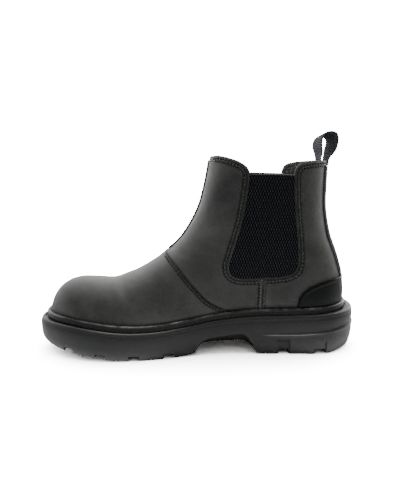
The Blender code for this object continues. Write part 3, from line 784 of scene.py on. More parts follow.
def upper_sheet(name, finish, outline, keep, lift, thickness, edge_path):
    """A sheet of the upper: its outer face, trimmed at a side-view outline, lifted off along its
    normals with the folds on it, and given a wall inward. The lift is one height or a function."""
    x, z = side_view_loops(RINGS, SIDE_COLUMNS)
    normal = loop_normals(skin_loops(x, z))
    x, z, stays = trim_loops(x, z, outline, keep)
    points = skin_loops(x, z)
    side = np.where(np.arange(points.shape[1]) <= SIDE_COLUMNS, -1, 1)
    x, z = points[..., 0], points[..., 2]
    height = lift(x, z) if callable(lift) else lift
    points = points + (height + folds(x, z, side))[..., None] * normal
    faces = loop_faces(*points.shape[:2])
    points = points.reshape(-1, 3)
    kept = both_sides(stays, stays).ravel()[faces]
    cut = kept.sum(1) == 3
    corners = faces[cut][kept[cut]].reshape(-1, 3)
    corners = corners[face_areas(points, corners) > SLIVER]
    faces = faces[kept.all(1)]
    faces = faces[face_areas(points, faces) > SLIVER]
    used = np.unique(np.concatenate([faces.ravel(), corners.ravel()]))
    number = np.zeros(len(points), int)
    number[used] = np.arange(len(used))
    made = add_piece(name, points[used], number[faces], finish, corners=number[corners].tolist())
    x, z = x.ravel()[used], z.ravel()[used]
    distance, along = path_reach(edge_path, x, z)
    to_vamp, to_seam = [path_reach(path, x, z)[0] for path in (vamp_edge, seam_edge)]
    between = np.where(x > SEAM_X, -to_seam, np.minimum(to_vamp, to_seam))
    under_vamp = x < np.interp(z, vamp_edge[:, 1], vamp_edge[:, 0])
    add_values(made, seam_distance=distance, seam_along=along, burnish=burnish(x, z, distance),
               lap_distance=np.where(under_vamp, -to_vamp, between))
    add_wall(made, thickness)
    return made


# Paleness on the leather, partly rubbed wear and partly painted light: painted highlights on top of the
# toe, over the instep, up the shin and in a streak beside the toe; rows with negative amounts are painted
# shade on the shaft, the back quarter and low on the sides
WEAR_AND_LIGHT_SPOTS = table("x z length width turn amount", [
    (-104, 69, 30, 11, 0, 1.4),
    (-62, 77, 26, 9, 28, 0.8),
    (-36, 93, 18, 10, 40, 0.8),
    (-4, 132, 28, 9, 68, 0.35),
    (10, 168, 22, 9, 80, 0.3),
    (-72, 60.5, 14, 3.6, -53, 1.3),
    (-58, 58, 15, 6, -40, 0.3),
    (-18, 91, 15, 9, 35, 0.7),
    (5, 112, 9, 1.6, 20, 0.35),
    (12, 106, 10, 1.8, -14, 0.3),
    (20, 150, 32, 15, 80, -0.9),
    (16, 120, 15, 7, 20, 0.35),
    (100, 118, 34, 15, 90, -0.45),
    (78, 60, 24, 11, 0, -0.45),
    (-12, 57, 20, 12, 20, -0.4),
    (-44, 46, 30, 9, 0, -0.25),
])
WEAR_AND_LIGHT_LIMITS = (-1.0, 1.5)
EDGE_MARGIN = (1.2, 2.4)
EDGE_SHADE = 0.4
COLLAR_FUZZ = 1.2
COLLAR_FROM = (166.0, 176.0)


def burnish(x, z, edge_distance):
    """Share of paleness: a sum of bells at the places of wear and of painted light and shade, with the
    cut edge's margin fuzzy and pale at the collar and darker elsewhere."""
    total = sum(amount * bell_of for amount, bell_of in zip(WEAR_AND_LIGHT_SPOTS["amount"], bells(WEAR_AND_LIGHT_SPOTS, x, z)))
    margin = 1 - ease(edge_distance, *EDGE_MARGIN)
    at_collar = ease(z, *COLLAR_FROM)
    fuzz = COLLAR_FUZZ * at_collar - EDGE_SHADE * (1 - at_collar)
    return np.clip(total, *WEAR_AND_LIGHT_LIMITS) + fuzz * margin


SOCKET_KINDS = {"Place": "NodeSocketVector", "Colour": "NodeSocketColor"}


def new_group(name, inputs, outputs):
    """A shader group with named sockets, what comes into it, and the node that takes its results."""
    made = bpy.data.node_groups.new(name, "ShaderNodeTree")
    for in_out, names in (("INPUT", inputs), ("OUTPUT", outputs)):
        for socket in names:
            kind = SOCKET_KINDS.get(socket, "NodeSocketFloat")
            made.interface.new_socket(socket, in_out=in_out, socket_type=kind)
    return made, made.nodes.new("NodeGroupInput").outputs, made.nodes.new("NodeGroupOutput")


def bell(value, middle, width):
    """1 at the middle and falling on both sides as a bell of that width."""
    offset = calc("DIVIDE", calc("SUBTRACT", value, middle), width)
    return calc("EXPONENT", calc("MULTIPLY", calc("MULTIPLY", offset, offset), -1.0))


def wave(value, pitch, kind="SINE"):
    """A wave between -1 and 1 along a value."""
    return calc(kind, calc("MULTIPLY", value, 2 * np.pi / pitch))


# Stitched edge: two sunk rows of holes beside an edge, and puffed leather between them. The rows get painted
# shade, the cut edge a painted shadow line and the puffs a painted highlight
STITCH_PITCH = 3.15
ROW_WIDTHS = {"Row 1": 0.6, "Row 2": 0.7}
ROW_SINK = 0.8
ROW_SHADE = 0.5
RIM_WIDTH = 0.55
RIM_SINK = 0.6
PUFF_WIDTH = 0.3
PUFF_POWER = 1.6
stitched, ends, result = new_group(
    "stitched_edge", ("Distance", "Along", "Row 1", "Row 2", "Painted edge shadow"), ("Height", "Dark", "Puff highlight"),
)
swell = calc("MULTIPLY_ADD", wave(ends["Along"], STITCH_PITCH), 0.5, 0.5)
between = calc("MULTIPLY", calc("ADD", ends["Row 1"], ends["Row 2"]), 0.5)
apart = calc("MULTIPLY", calc("SUBTRACT", ends["Row 2"], ends["Row 1"]), PUFF_WIDTH)
puckers = calc("MULTIPLY", bell(ends["Distance"], between, apart), calc("POWER", swell, PUFF_POWER))
trough = calc("ADD", *[bell(ends["Distance"], ends[row], width) for row, width in ROW_WIDTHS.items()])
rim = bell(ends["Distance"], 0.0, RIM_WIDTH)
relief = calc("SUBTRACT", puckers, calc("MULTIPLY", trough, ROW_SINK))
fill(result, {
    "Height": calc("SUBTRACT", relief, calc("MULTIPLY", rim, RIM_SINK)),
    "Dark": calc("ADD", calc("MULTIPLY", trough, ROW_SHADE), calc("MULTIPLY", rim, ends["Painted edge shadow"])),
    "Puff highlight": puckers,
})

# Waxed leather: cloudy tone, fine grain and pores, with wear, painted light and painted shade added to the
# tone
WAXED = (0.027, 0.0287, 0.0273)
WORN_AND_LIT = (0.145, 0.150, 0.142)
PUFF_HIGHLIGHT = (0.30, 0.305, 0.30)
waxed, ends, result = new_group(
    "waxed_leather", ("Place", "Wear and painted light", "Dark", "Puff highlight"), ("Colour", "Roughness", "Grain"),
)
cloud = noise(ends["Place"], 30.0, 4.0, 0.55, 0.5)
mottle = noise(ends["Place"], 120.0, 4.0, 0.6, 0.3)
speckle = noise(ends["Place"], 1100.0, 2.0, 0.6)
tone = -0.42
for value, amount in (
    (cloud, 0.9), (mottle, 0.35), (speckle, 0.3), (ends["Wear and painted light"], 0.35), (ends["Dark"], -0.7),
):
    tone = calc("MULTIPLY_ADD", value, amount, tone)
skin = blend_colour(spread(tone, 0.0, 1.0), WAXED, WORN_AND_LIT)
fill(result, {
    "Colour": blend_colour(calc("MULTIPLY", ends["Puff highlight"], 0.5), skin, PUFF_HIGHLIGHT),
    "Roughness": spread(mottle, 0.3, 0.7, 0.52, 0.66),
    "Grain": calc("MULTIPLY_ADD", cells(ends["Place"], 1500.0), 0.5, speckle),
})
LAP_WIDTH = 0.8
LAP_SHADE = 0.85


def leather_material(name, rows, rim):
    """Waxed leather with stitched edges from the piece's own distances, a painted shadow along the cut edge
    and painted shade beside laps.
    """
    made, shader = new_material(name, Specular_IOR_Level=0.4, Sheen_Weight=0.25, Sheen_Roughness=0.4)
    edge = node(shader, "ShaderNodeGroup", {
        "Distance": value_of(shader, "seam_distance"), "Along": value_of(shader, "seam_along"),
        "Row 1": rows[0], "Row 2": rows[1], "Painted edge shadow": rim,
    }, node_tree=stitched).outputs
    lap = calc("MULTIPLY", bell(value_of(shader, "lap_distance"), 0.0, LAP_WIDTH), LAP_SHADE)
    skin = node(shader, "ShaderNodeGroup", {
        "Place": place(shader), "Wear and painted light": value_of(shader, "burnish"),
        "Dark": calc("MAXIMUM", edge["Dark"], lap), "Puff highlight": edge["Puff highlight"],
    }, node_tree=waxed).outputs
    fill(shader, {"Base Color": skin["Colour"], "Roughness": skin["Roughness"]})
    raise_surface(shader, calc("MULTIPLY_ADD", skin["Grain"], 0.16, edge["Height"]), 0.0006)
    return made


def fibre_material(name, grain, low, high, height, **constants):
    """Fine fibres: one noise blends two colours and raises the surface by a height in metres."""
    made, shader = new_material(name, **constants)
    fibres = noise(place(shader), *grain)
    paint(shader, fibres, low, high)
    raise_surface(shader, fibres, height)
    return made


COLLAR_ROWS = (2.7, 5.3)
COLLAR_EDGE_SHADOW = 0.15
leather = leather_material("waxed_leather", COLLAR_ROWS, COLLAR_EDGE_SHADOW)
knit, shader = new_material("lining_knit", Roughness=0.95)
knots = cells(place(shader), 1000.0)
patch = spread(noise(place(shader), 800.0, 1.0), 0.42, 0.6)
paint(shader, calc("MULTIPLY", patch, spread(knots, 0.75, 0.2)), (0.085, 0.087, 0.085), (0.52, 0.52, 0.51))
raise_surface(shader, knots, 0.0005)
raw_edge = fibre_material(
    "raw_leather_edge", (1400.0, 3.0, 0.7), (0.05, 0.05, 0.049), (0.20, 0.20, 0.19), 0.0008, Roughness=0.9,
)

gusset_outline = curve_through(GUSSET_CUT, 120)
edge_path = np.concatenate([curve_through(COLLAR_FRONT, 60), gusset_outline, curve_through(COLLAR_BACK, 60)])
opening = np.concatenate([[(edge_path[0, 0], ABOVE)], edge_path, [(edge_path[-1, 0], ABOVE)]])
upper = upper_sheet("upper_leather", leather, opening, OUTSIDE, 0.0, WALL, edge_path)
upper.data.materials.append(knit)
upper.data.materials.append(raw_edge)
upper.modifiers["wall"].material_offset = 1
upper.modifiers["wall"].material_offset_rim = 2
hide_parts("upper")

# Vamp: the leather panel over the toes, laid on the quarters and stitched down with two rows along
# its back edge, which is cut clean and shows its thickness.

VAMP_STEP = 0.8
VAMP_WALL = 0.7
VAMP_ROWS = (0.9, 3.0)
VAMP_EDGE_SHADOW = 0.25
before_toe = 2 * TOE_X
vamp_outline = np.concatenate([
    vamp_edge, [(before_toe, vamp_edge[-1, 1]), (before_toe, 0.0), (vamp_edge[0, 0], 0.0)],
])
vamp_finish = leather_material("vamp_leather", VAMP_ROWS, VAMP_EDGE_SHADOW)
vamp = upper_sheet("vamp_leather", vamp_finish, vamp_outline, INSIDE, VAMP_STEP, VAMP_WALL, vamp_edge)
vamp.data.materials.append(raw_edge)
vamp.modifiers["wall"].material_offset_rim = 1

# Side seam: under each gusset the front quarter laps over the back quarter, stitched down with two
# rows beside its cut edge.

SEAM_WIDTH = 9.5
SEAM_STEP = 0.6
SEAM_WALL = 0.5
SEAM_SINK = 0.05
SEAM_FULL = 0.4
SEAM_ROWS = (2.4, 6.1)
SEAM_EDGE_SHADOW = 1.2
seam_front = SEAM_X - SEAM_WIDTH
seam_outline = np.array([
    (seam_front, SEAM_BOTTOM), (SEAM_X, SEAM_BOTTOM), (SEAM_X, SEAM_TOP), (seam_front, SEAM_TOP),
])


def seam_lift(x, z):
    """Rises out of the leather in front and stands one step proud at the cut edge."""
    return SEAM_STEP * ease(x, seam_front, SEAM_X - SEAM_FULL * SEAM_WIDTH) - SEAM_SINK


seam_finish = leather_material("side_seam_leather", SEAM_ROWS, SEAM_EDGE_SHADOW)
seam = upper_sheet("side_seam_leather", seam_finish, seam_outline, INSIDE, seam_lift, SEAM_WALL, seam_edge)
seam.data.materials.append(raw_edge)
seam.modifiers["wall"].material_offset_rim = 1

# Welt: a strip of black rubber sewn round the foot of the upper, on the sole's ledge. Its wall is
# ribbed, and its top has a shiny rolled lip with a painted highlight along it, broken up by noise.

WELT_INSETS = (6.4, 3.8, 8.8)
WELT_HEIGHT = 7.2
WELT_RIB_PITCH = 3.0
WELT_RIB_DEPTH = 0.22
WELT_CLEARANCE = 0.35
VAMP_END_X = (28.0, 36.0)
WELT_STEPS = 1100
WELT_SHARP = 50.0
WELT_HIGHLIGHT_LEAST = 0.2
WELT_HIGHLIGHT_BALL = (-42.0, 46.0)
WELT_HIGHLIGHT_HEEL = (98.0, 40.0)
WELT_HIGHLIGHT_HEEL_SHARE = 0.55
# Section of the strip: how far from its wall (0) to the upper (1), how far out, how high, how much it
# is ribbed, and how much painted highlight its lip carries
WELT_SECTION = table("inward out height rib lip", [
    (0.95, 0, 0.4, 0, 0),
    (0.10, 0, 0.3, 0, 0),
    (0, 0, 0.6, 0, 0),
    (0, 0, 1.4, 1, 0),
    (0, 0, 2.8, 1, 0),
    (0, 0, 4.2, 1, 0),
    (0, -0.4, 4.6, 0, 0),
    (0, -0.4, 5, 0, 0),
    (0, 0, 5.4, 0, 0),
    (0, 0.1, 5.9, 0, 0),
    (0.05, 0.1, 6.5, 0, 0.6),
    (0.2, 0, 7, 0, 1),
    (0.45, 0, 7.2, 0, 0.35),
    (0.75, 0, 7.1, 0, 0.1),
    (1, 0, 6.7, 0, 0),
    (1, 0, 3.5, 0, 0),
])


def upper_loop(height):
    """The loop round the upper's foot at a height over the seat, out by the vamp's step in front:
    between the two loops on either side of that height, in proportion."""
    x, z = side_view_loops(RINGS, 2 * SIDE_COLUMNS)
    x, z = x[:RINGS // 3], z[:RINGS // 3]
    points = skin_loops(x, z)
    in_vamp = 1 - ease(points[..., :1], *VAMP_END_X)
    points = points + (VAMP_STEP * in_vamp + WELT_CLEARANCE) * loop_normals(points)
    over_seat = points[..., 2] - seat_height(points[..., 0])
    above = np.clip((over_seat < height).sum(0), 1, len(points) - 1)[None]
    low = np.take_along_axis(over_seat, above - 1, 0)[0]
    high = np.take_along_axis(over_seat, above, 0)[0]
    share = np.clip((height - low) / (high - low), 0, 1)[:, None]
    first = np.take_along_axis(points, above[..., None] - 1, 0)[0]
    second = np.take_along_axis(points, above[..., None], 0)[0]
    return first + share * (second - first)


inner_loop = upper_loop(WELT_HEIGHT / 2)
x, middle, half = plan_row(TOE_X + end_spaced(2 * SIDE_COLUMNS) * SOLE_LENGTH, WELT_INSETS)
outer_loop = both_sides(np.stack([x, middle - half], -1)[None], np.stack([x, middle + half], -1)[None])[0]
ahead = np.roll(outer_loop, -1, 0) - np.roll(outer_loop, 1, 0)
outward = unit(np.stack([ahead[:, 1], -ahead[:, 0]], 1))
length = np.cumsum(np.linalg.norm(np.roll(outer_loop, -1, 0) - outer_loop, axis=1))
# Even steps round the strip, close enough to carry the ribs
even = np.linspace(0, length[-1], WELT_STEPS, endpoint=False)
loops = np.concatenate([outer_loop, outward, inner_loop[:, :2]], 1)
outer_x, outer_y, out_x, out_y, inner_x, inner_y = read_at(loops, length, even).T
rows = []
for inward, out, height, rib, _ in zip(*WELT_SECTION.values()):
    ribs = WELT_RIB_DEPTH * rib * (np.abs(np.sin(np.pi * even / WELT_RIB_PITCH)) - 1)
    x = outer_x + (out + ribs) * out_x + inward * (inner_x - outer_x)
    y = outer_y + (out + ribs) * out_y + inward * (inner_y - outer_y)
    rows.append(np.stack([x, y, seat_height(x) + height], 1))
welt_rubber, shader = new_material("welt_rubber", Specular_IOR_Level=0.5)
# Painted highlight along the lip: a pale colour by the lip value, broken up by noise
highlight_breaks = spread(noise(place(shader), 60.0, 3.0, 0.6), 0.36, 0.62, 0.15, 1.0)
rubbed = calc("MULTIPLY", value_of(shader, "lip"), highlight_breaks)
paint(shader, rubbed, (0.008, 0.008, 0.0085), (0.48, 0.48, 0.45))
fill(shader, {"Roughness": spread(rubbed, 0.0, 1.0, 0.42, 0.24)})
raise_surface(shader, noise(place(shader), 1500.0), 0.0001)
welt = add_piece("welt_strip", np.array(rows), loop_faces(len(rows), len(even)), welt_rubber, WELT_SHARP)
# The painted highlight is strongest beside the ball and a little at the heel
by_ball = bell_at(outer_x, *WELT_HIGHLIGHT_BALL) + WELT_HIGHLIGHT_HEEL_SHARE * bell_at(outer_x, *WELT_HIGHLIGHT_HEEL)
add_values(welt, lip=WELT_SECTION["lip"][:, None] * np.minimum(WELT_HIGHLIGHT_LEAST + by_ball, 1.0))
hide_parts("welt")

# Gussets: panels of black elastic let into both sides of the shaft so that it stretches open. A
# raised net of threads covers them in tall cells, set half a cell off from column to column.

GUSSET_SINK = 0.5
GUSSET_THICKNESS = 1.4
GUSSET_TUCK = 1.0
BINDING_RADIUS = 0.6
CELL_WIDTH = 2.37
CELL_HEIGHT = 5.6
NET_LEAN = np.radians(1.6)
PANEL_ROWS = 90
PANEL_COLUMNS = 60
ROW_CROWDING = 1.5
SLOPE_STEP = 0.4
CORD_SIDES = 12


def axes_of(vector):
    """The parts of a vector along its axes."""
    return node(vector, "ShaderNodeSeparateXYZ", {0: vector}).outputs


elastic, shader = new_material("net_elastic", Specular_IOR_Level=0.12)
cell = axes_of(node(shader, "ShaderNodeUVMap", uv_map="cells").outputs[0])
# Threads stand where the product of one wave across and one wave up is below nought
waves = calc("MULTIPLY", *[wave(cell[axis], 1.0, "COSINE") for axis in (0, 1)])
thread = spread(waves, -0.55, 0.15, 1.0, 0.0)
fuzz = noise(place(shader), 2400.0)
lit_thread = calc("MULTIPLY", thread, spread(fuzz, 0.2, 0.8, 0.6, 1.0))
paint(shader, lit_thread, (0.0002, 0.0003, 0.0006), (0.064, 0.070, 0.083))
fill(shader, {"Roughness": spread(fuzz, 0.2, 0.8, 0.65, 0.85)})
raise_surface(shader, thread, 0.0005)


def skin_point(x, z, side):
    """A point of the upper's outer face on one side, and its outward direction: the slope of the
    half width, read over a short step each way."""
    step = SLOPE_STEP
    half = upper_half_width(x, z)
    slope_x = (upper_half_width(x + step, z) - upper_half_width(x - step, z)) / (2 * step)
    slope_z = (upper_half_width(x, z + step) - upper_half_width(x, z - step)) / (2 * step)
    normal = unit(np.stack([-slope_x, np.full_like(x, side), -slope_z], -1))
    return np.stack([x, upper_centre(x, z) + side * half, z], -1), normal


def cord(middle, radius, upright):
    """A round cord along a line of points: circles across the line's own direction."""
    ahead = np.gradient(middle, axis=0)
    first = np.cross(ahead, upright)
    second = unit(np.cross(first, ahead))
    first = unit(first)
    angle = np.linspace(0, 2 * np.pi, CORD_SIDES, endpoint=False)[:, None]
    return middle[:, None] + radius * (np.cos(angle) * first[:, None] + np.sin(angle) * second[:, None])


def add_uv(made, name, across, along):
    """Coordinates for the material, across and along the piece."""
    uv = np.stack([across, along], -1).reshape(-1, 2)
    corners = np.empty(len(made.data.loops), int)
    made.data.loops.foreach_get("vertex_index", corners)
    made.data.uv_layers.new(name=name).data.foreach_set("uv", uv[corners].ravel())


bound = fibre_material(
    "elastic_binding", (1500.0,), (0.13, 0.13, 0.132), (0.22, 0.22, 0.22), 0.0003,
    Roughness=0.7, Specular_IOR_Level=0.3,
)
lowest = gusset_outline[:, 1].argmin()
front_edge = gusset_outline[:lowest + 1][::-1]
back_edge = gusset_outline[lowest:]
rows = np.linspace(0, 1, PANEL_ROWS)[:, None] ** ROW_CROWDING
z = front_edge[0, 1] + rows * (front_edge[-1, 1] - front_edge[0, 1])
z_back = front_edge[0, 1] + rows * (back_edge[-1, 1] - front_edge[0, 1])
low_x = np.interp(z, front_edge[:, 1], front_edge[:, 0]) - GUSSET_TUCK
high_x = np.interp(z_back, np.maximum.accumulate(back_edge[:, 1]), back_edge[:, 0]) + GUSSET_TUCK
across = np.linspace(0, 1, PANEL_COLUMNS)[None]
panel_x = low_x + across * (high_x - low_x)
panel_z = z + across * (z_back - z)
net_x = panel_x * np.cos(NET_LEAN) - panel_z * np.sin(NET_LEAN)
net_z = panel_x * np.sin(NET_LEAN) + panel_z * np.cos(NET_LEAN)
for name, side in (("gusset_inner", -1), ("gusset_outer", 1)):
    points, normal = skin_point(panel_x, panel_z, side)
    faces = grid_faces(*panel_x.shape)
    if side > 0:
        faces = faces[:, ::-1]
    panel = add_piece(f"{name}_elastic", points - GUSSET_SINK * normal, faces, elastic)
    add_uv(panel, "cells", net_x / CELL_WIDTH, net_z / CELL_HEIGHT)
    add_wall(panel, GUSSET_THICKNESS)
    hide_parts(name)
    middle = points[-1] - (GUSSET_SINK + GUSSET_THICKNESS / 2) * normal[-1]
    binding = cord(middle, BINDING_RADIUS, (0.0, 0.0, 1.0))
    binding = add_piece(f"{name}_binding", binding, loop_faces(*binding.shape[:2]), bound)

# Heel counter: a patch of smooth black coated leather moulded round the back of the heel, with a
# thick rolled edge along its top.

COUNTER_LIFT = 1.3
COUNTER_WALL = 1.1
COUNTER_FOOT = 2.0
BEAD = (1.6, 1.2)
BEAD_LIFT = 0.5
COUNTER_TOP = table("x z", [
    (92.6, 40),
    (93.4, 52),
    (98, 60.2),
    (108, 66.4),
    (122, 70.2),
    (138, 71.4),
    (165, 71.6),
])
counter_edge = curve_through(COUNTER_TOP, 60)
under = np.linspace(COUNTER_TOP["x"][-1], COUNTER_TOP["x"][0], 20)
counter_outline = np.concatenate([counter_edge, np.stack([under, seat_height(under) + COUNTER_FOOT], 1)])


def counter_lift(x, z):
    """Stands off the leather, with a rounded bead along its top edge."""
    reach, _ = path_reach(counter_edge, x, z)
    return COUNTER_LIFT + BEAD_LIFT * bell_at(reach, *BEAD)


coated, shader = new_material("coated_leather", Specular_IOR_Level=0.16)
beside_edge = bell(value_of(shader, "seam_distance"), 0.6, 1.6)
paint(shader, beside_edge, (0.0068, 0.0072, 0.0080), (0.0025, 0.0025, 0.0028))
fill(shader, {"Roughness": spread(noise(place(shader), 70.0, 3.0), 0.3, 0.7, 0.36, 0.46)})
raise_surface(shader, noise(place(shader), 1300.0), 0.00015)
counter = upper_sheet(
    "heel_counter_patch", coated, counter_outline, INSIDE, counter_lift, COUNTER_WALL, counter_edge,
)
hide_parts("heel_counter")

# Back strip: black ribbed webbing sewn flat over the back seam, from the counter up to the collar.
# It is bare.

STRIP_HALF = 16.5
STRIP_LIFT = 1.5
STRIP_BOTTOM = 71.0
STRIP_TOP = 174.0
STRIP_WALL = 1.2
STRIP_REACH = 24.0
STRIP_EDGE = 0.8
STRIP_EDGE_DROP = 0.35
RIB_PITCH = 1.5
CROSS_PITCH = 1.1
CROSS_SHARE = 0.18
webbing, shader = new_material("ribbed_webbing", Roughness=0.8, Specular_IOR_Level=0.15)
weave = axes_of(node(shader, "ShaderNodeUVMap", uv_map="weave").outputs[0])
ribs = calc("MULTIPLY_ADD", wave(weave[1], RIB_PITCH), 0.5, 0.5)
ribs = calc("MULTIPLY_ADD", wave(weave[0], CROSS_PITCH), CROSS_SHARE, ribs)
paint(shader, ribs, (0.020, 0.021, 0.0235), (0.150, 0.158, 0.172))
raise_surface(shader, ribs, 0.0002)
strip_z = np.linspace(STRIP_BOTTOM, STRIP_TOP, 90)
strip_y = np.linspace(-STRIP_HALF, STRIP_HALF, 33)
back_x = np.interp(strip_z, BACK[:, 1], BACK[:, 0])
inward = np.linspace(0, 1, 60) ** 2 * STRIP_REACH
near_x = back_x[:, None] - inward
near_half = upper_half_width(near_x, np.repeat(strip_z[:, None], len(inward), 1))
strip_x = np.array([
    np.interp(np.abs(strip_y), np.maximum.accumulate(half), row) for half, row in zip(near_half, near_x)
])
grid_y, grid_z = np.meshgrid(strip_y, strip_z)
middle_y = upper_centre(back_x, strip_z)[:, None]
points = np.stack([strip_x, middle_y + grid_y, grid_z], -1)
slope = unit(np.cross(np.gradient(points, axis=1), np.gradient(points, axis=0)))
rounded = 1 - STRIP_EDGE_DROP * bell_at(STRIP_HALF - np.abs(grid_y), 0.0, STRIP_EDGE)
strip = add_piece("back_strip_webbing", points + STRIP_LIFT * rounded[..., None] * slope,
                  grid_faces(*grid_y.shape), webbing)
add_uv(strip, "weave", grid_y, grid_z)
add_wall(strip, STRIP_WALL)
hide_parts("back_strip")

# Pull loop: the ribbed webbing of the strip, carried on over the collar's back edge, folded into a
# loop and sewn down inside.

LOOP_HALF = 9.6
LOOP_THICKNESS = 1.7
LOOP_TWIST = np.radians(12.5)
LOOP_TWIST_MORE = np.radians(7.5)
LOOP_TWIST_Z = (177.6, 190.5)
LOOP_TWIST_X = (114.0, 125.0)
LOOP_LEAN = -0.2
LOOP_LEAN_Z = (188.0, 203.0)
LOOP_BOW = 30.0
LOOP_BOW_Z = (176.0, 188.0)
LOOP_SQUARE = (0.5, 0.35)
LOOP_LINE = table("x z", [
    (115, 164),
    (115, 174),
    (114.6, 180),
    (113.6, 185.5),
    (112.3, 191),
    (112.4, 196.7),
    (114.5, 201.2),
    (119.8, 203.3),
    (124.6, 201.3),
    (126, 196.4),
    (124.8, 190.4),
    (123.2, 185.2),
    (122, 181),
    (121.9, 174.2),
])
line = curve_through(LOOP_LINE, 150)
ahead = unit(np.gradient(line, axis=0))
out = np.stack([ahead[:, 1], np.zeros(len(line)), -ahead[:, 0]], 1)
twist = LOOP_TWIST + LOOP_TWIST_MORE * ease(line[:, 0], *LOOP_TWIST_X)
turn = twist * ease(line[:, 1], *LOOP_TWIST_Z)
aside = np.stack([-np.sin(turn), np.cos(turn), LOOP_LEAN * ease(line[:, 1], *LOOP_LEAN_Z)], 1)
middle = np.insert(line, 1, 0.0, axis=1)
angle = np.linspace(0, 2 * np.pi, 28, endpoint=False)
section_y = LOOP_HALF * np.sign(np.cos(angle)) * np.abs(np.cos(angle)) ** LOOP_SQUARE[0]
section_out = LOOP_THICKNESS / 2 * np.sign(np.sin(angle)) * np.abs(np.sin(angle)) ** LOOP_SQUARE[1]
points = middle[:, None] + section_y[:, None] * aside[:, None] + section_out[:, None] * out[:, None]
# Low down the band is bowed round the back of the collar
points[..., 0] -= section_y ** 2 / (2 * LOOP_BOW) * (1 - ease(line[:, 1:], *LOOP_BOW_Z))
loop = add_piece("pull_loop_webbing", points, loop_faces(len(line), len(angle)), webbing)
along = np.repeat(run_length(line)[:, None], len(angle), 1)
add_uv(loop, "weave", np.tile(section_y, (len(line), 1)), along)
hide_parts("pull_loop")

# Front piping: a thin black cord sewn along the centre front seam, from the vamp to just under the
# collar's stitching.

PIPING_BOTTOM = 95.0
PIPING_TOP = 179.0
PIPING_RADIUS = 1.15
PIPING_SHIFT = (-0.3, 0.0, 0.15)
SHIN_BOTTOM = 88.0
shin = FRONT[FRONT[:, 1] > SHIN_BOTTOM]
cord_z = np.linspace(PIPING_BOTTOM, PIPING_TOP, 120)
cord_x = np.interp(cord_z, shin[:, 1], shin[:, 0])
middle = np.stack([cord_x, upper_centre(cord_x, cord_z), cord_z], 1)
points = cord(middle + PIPING_SHIFT, PIPING_RADIUS, (0.0, 1.0, 0.0))
twisted = fibre_material(
    "piping_cord", (1200.0,), (0.006, 0.006, 0.0065), (0.022, 0.022, 0.023), 0.0003,
    Roughness=0.75, Specular_IOR_Level=0.2,
)
piping = add_piece("front_piping_cord", points, loop_faces(*points.shape[:2]), twisted)
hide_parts("front_piping")

# Stitches: black waxed thread, in pairs of rows beside every leather edge. Each stitch is a short
# rounded length that lies in the leather between two holes.

THREAD_HALF = 0.72
STITCH_LENGTH = 2.3
STITCH_TAPER = 0.6
STITCH_END = 0.15
STITCH_STEPS = 7
STITCH_SIDES = 8
STITCH_LIFT = 0.15
SEAM_STITCH_LIFT = 0.1
ROW_SHIFTS = (0.0, 0.4)
COLLAR_END = 1.2
VAMP_STITCH_TOP = 93.0
SEAM_STITCH_Z = (44.0, 68.0)
thread_finish = fibre_material(
    "waxed_thread", (1800.0,), (0.004, 0.004, 0.0045), (0.016, 0.016, 0.017), 0.0002, Roughness=0.55,
)
# One stitch: a capsule with its length along the first axis and its top along the third
lengthwise = np.linspace(STITCH_END, np.pi - STITCH_END, STITCH_STEPS)[:, None]
around = np.linspace(0, 2 * np.pi, STITCH_SIDES, endpoint=False)
girth = THREAD_HALF * np.sin(lengthwise) ** STITCH_TAPER
capsule = np.stack(np.broadcast_arrays(
    -STITCH_LENGTH / 2 * np.cos(lengthwise), girth * np.cos(around), girth * np.sin(around),
), -1).reshape(-1, 3)
capsule_faces = loop_faces(STITCH_STEPS, STITCH_SIDES)


def beside_path(path, distance):
    """A side-view path moved sideways by a distance, to the left of its direction."""
    ahead = np.gradient(path, axis=0)
    return path + distance * unit(np.stack([-ahead[:, 1], ahead[:, 0]], 1))


def stitch_row(path, side, lift, shift):
    """Frames for one row of stitches: even steps of the path's length on the upper's face, with
    each stitch's middle, direction and outward normal."""
    fine = np.linspace(0, len(path) - 1, 40 * len(path))
    x, z = read_at(path, np.arange(len(path)), fine).T
    points, normal = skin_point(x, z, side)
    length = run_length(points)
    at = np.arange(STITCH_PITCH * (0.5 + shift), length[-1] - 0.4 * STITCH_PITCH, STITCH_PITCH)
    ahead = np.gradient(points, axis=0)
    middle, ahead, normal = [read_at(rows, length, at) for rows in (points, ahead, normal)]
    ahead = unit(ahead)
    normal = unit(normal)
    aside = np.cross(normal, ahead)
    return middle + lift * normal, np.stack([ahead, aside, np.cross(ahead, aside)], 1)


on_side = (edge_path[:, 0] > FRONT[-1, 0] + COLLAR_END) & (edge_path[:, 0] < BACK[-1, 0] - COLLAR_END)
vamp_stitching = vamp_edge[vamp_edge[:, 1] < VAMP_STITCH_TOP]
seam_stitching = np.array([(SEAM_X, z) for z in np.linspace(*SEAM_STITCH_Z, 10)])
# Each stitched edge, its two rows, the side of the edge that they lie on, and how high they stand
sewn = (
    (edge_path[on_side], COLLAR_ROWS, -1, STITCH_LIFT),
    (vamp_stitching, VAMP_ROWS, 1, VAMP_STEP + STITCH_LIFT),
    (seam_stitching, SEAM_ROWS, 1, SEAM_STEP + SEAM_STITCH_LIFT),
)
frames = [
    stitch_row(beside_path(path, towards * rows[row]), side, lift, shift)
    for side in (-1, 1)
    for row, shift in enumerate(ROW_SHIFTS)
    for path, rows, towards, lift in sewn
]
middles = np.concatenate([middle for middle, _ in frames])
turns = np.concatenate([turned for _, turned in frames])
points = middles[:, None] + np.einsum("pi,sij->spj", capsule, turns)
faces = capsule_faces + (np.arange(len(middles)) * len(capsule))[:, None, None]
stitches = add_piece("stitches_thread", points, faces.reshape(-1, 4), thread_finish)
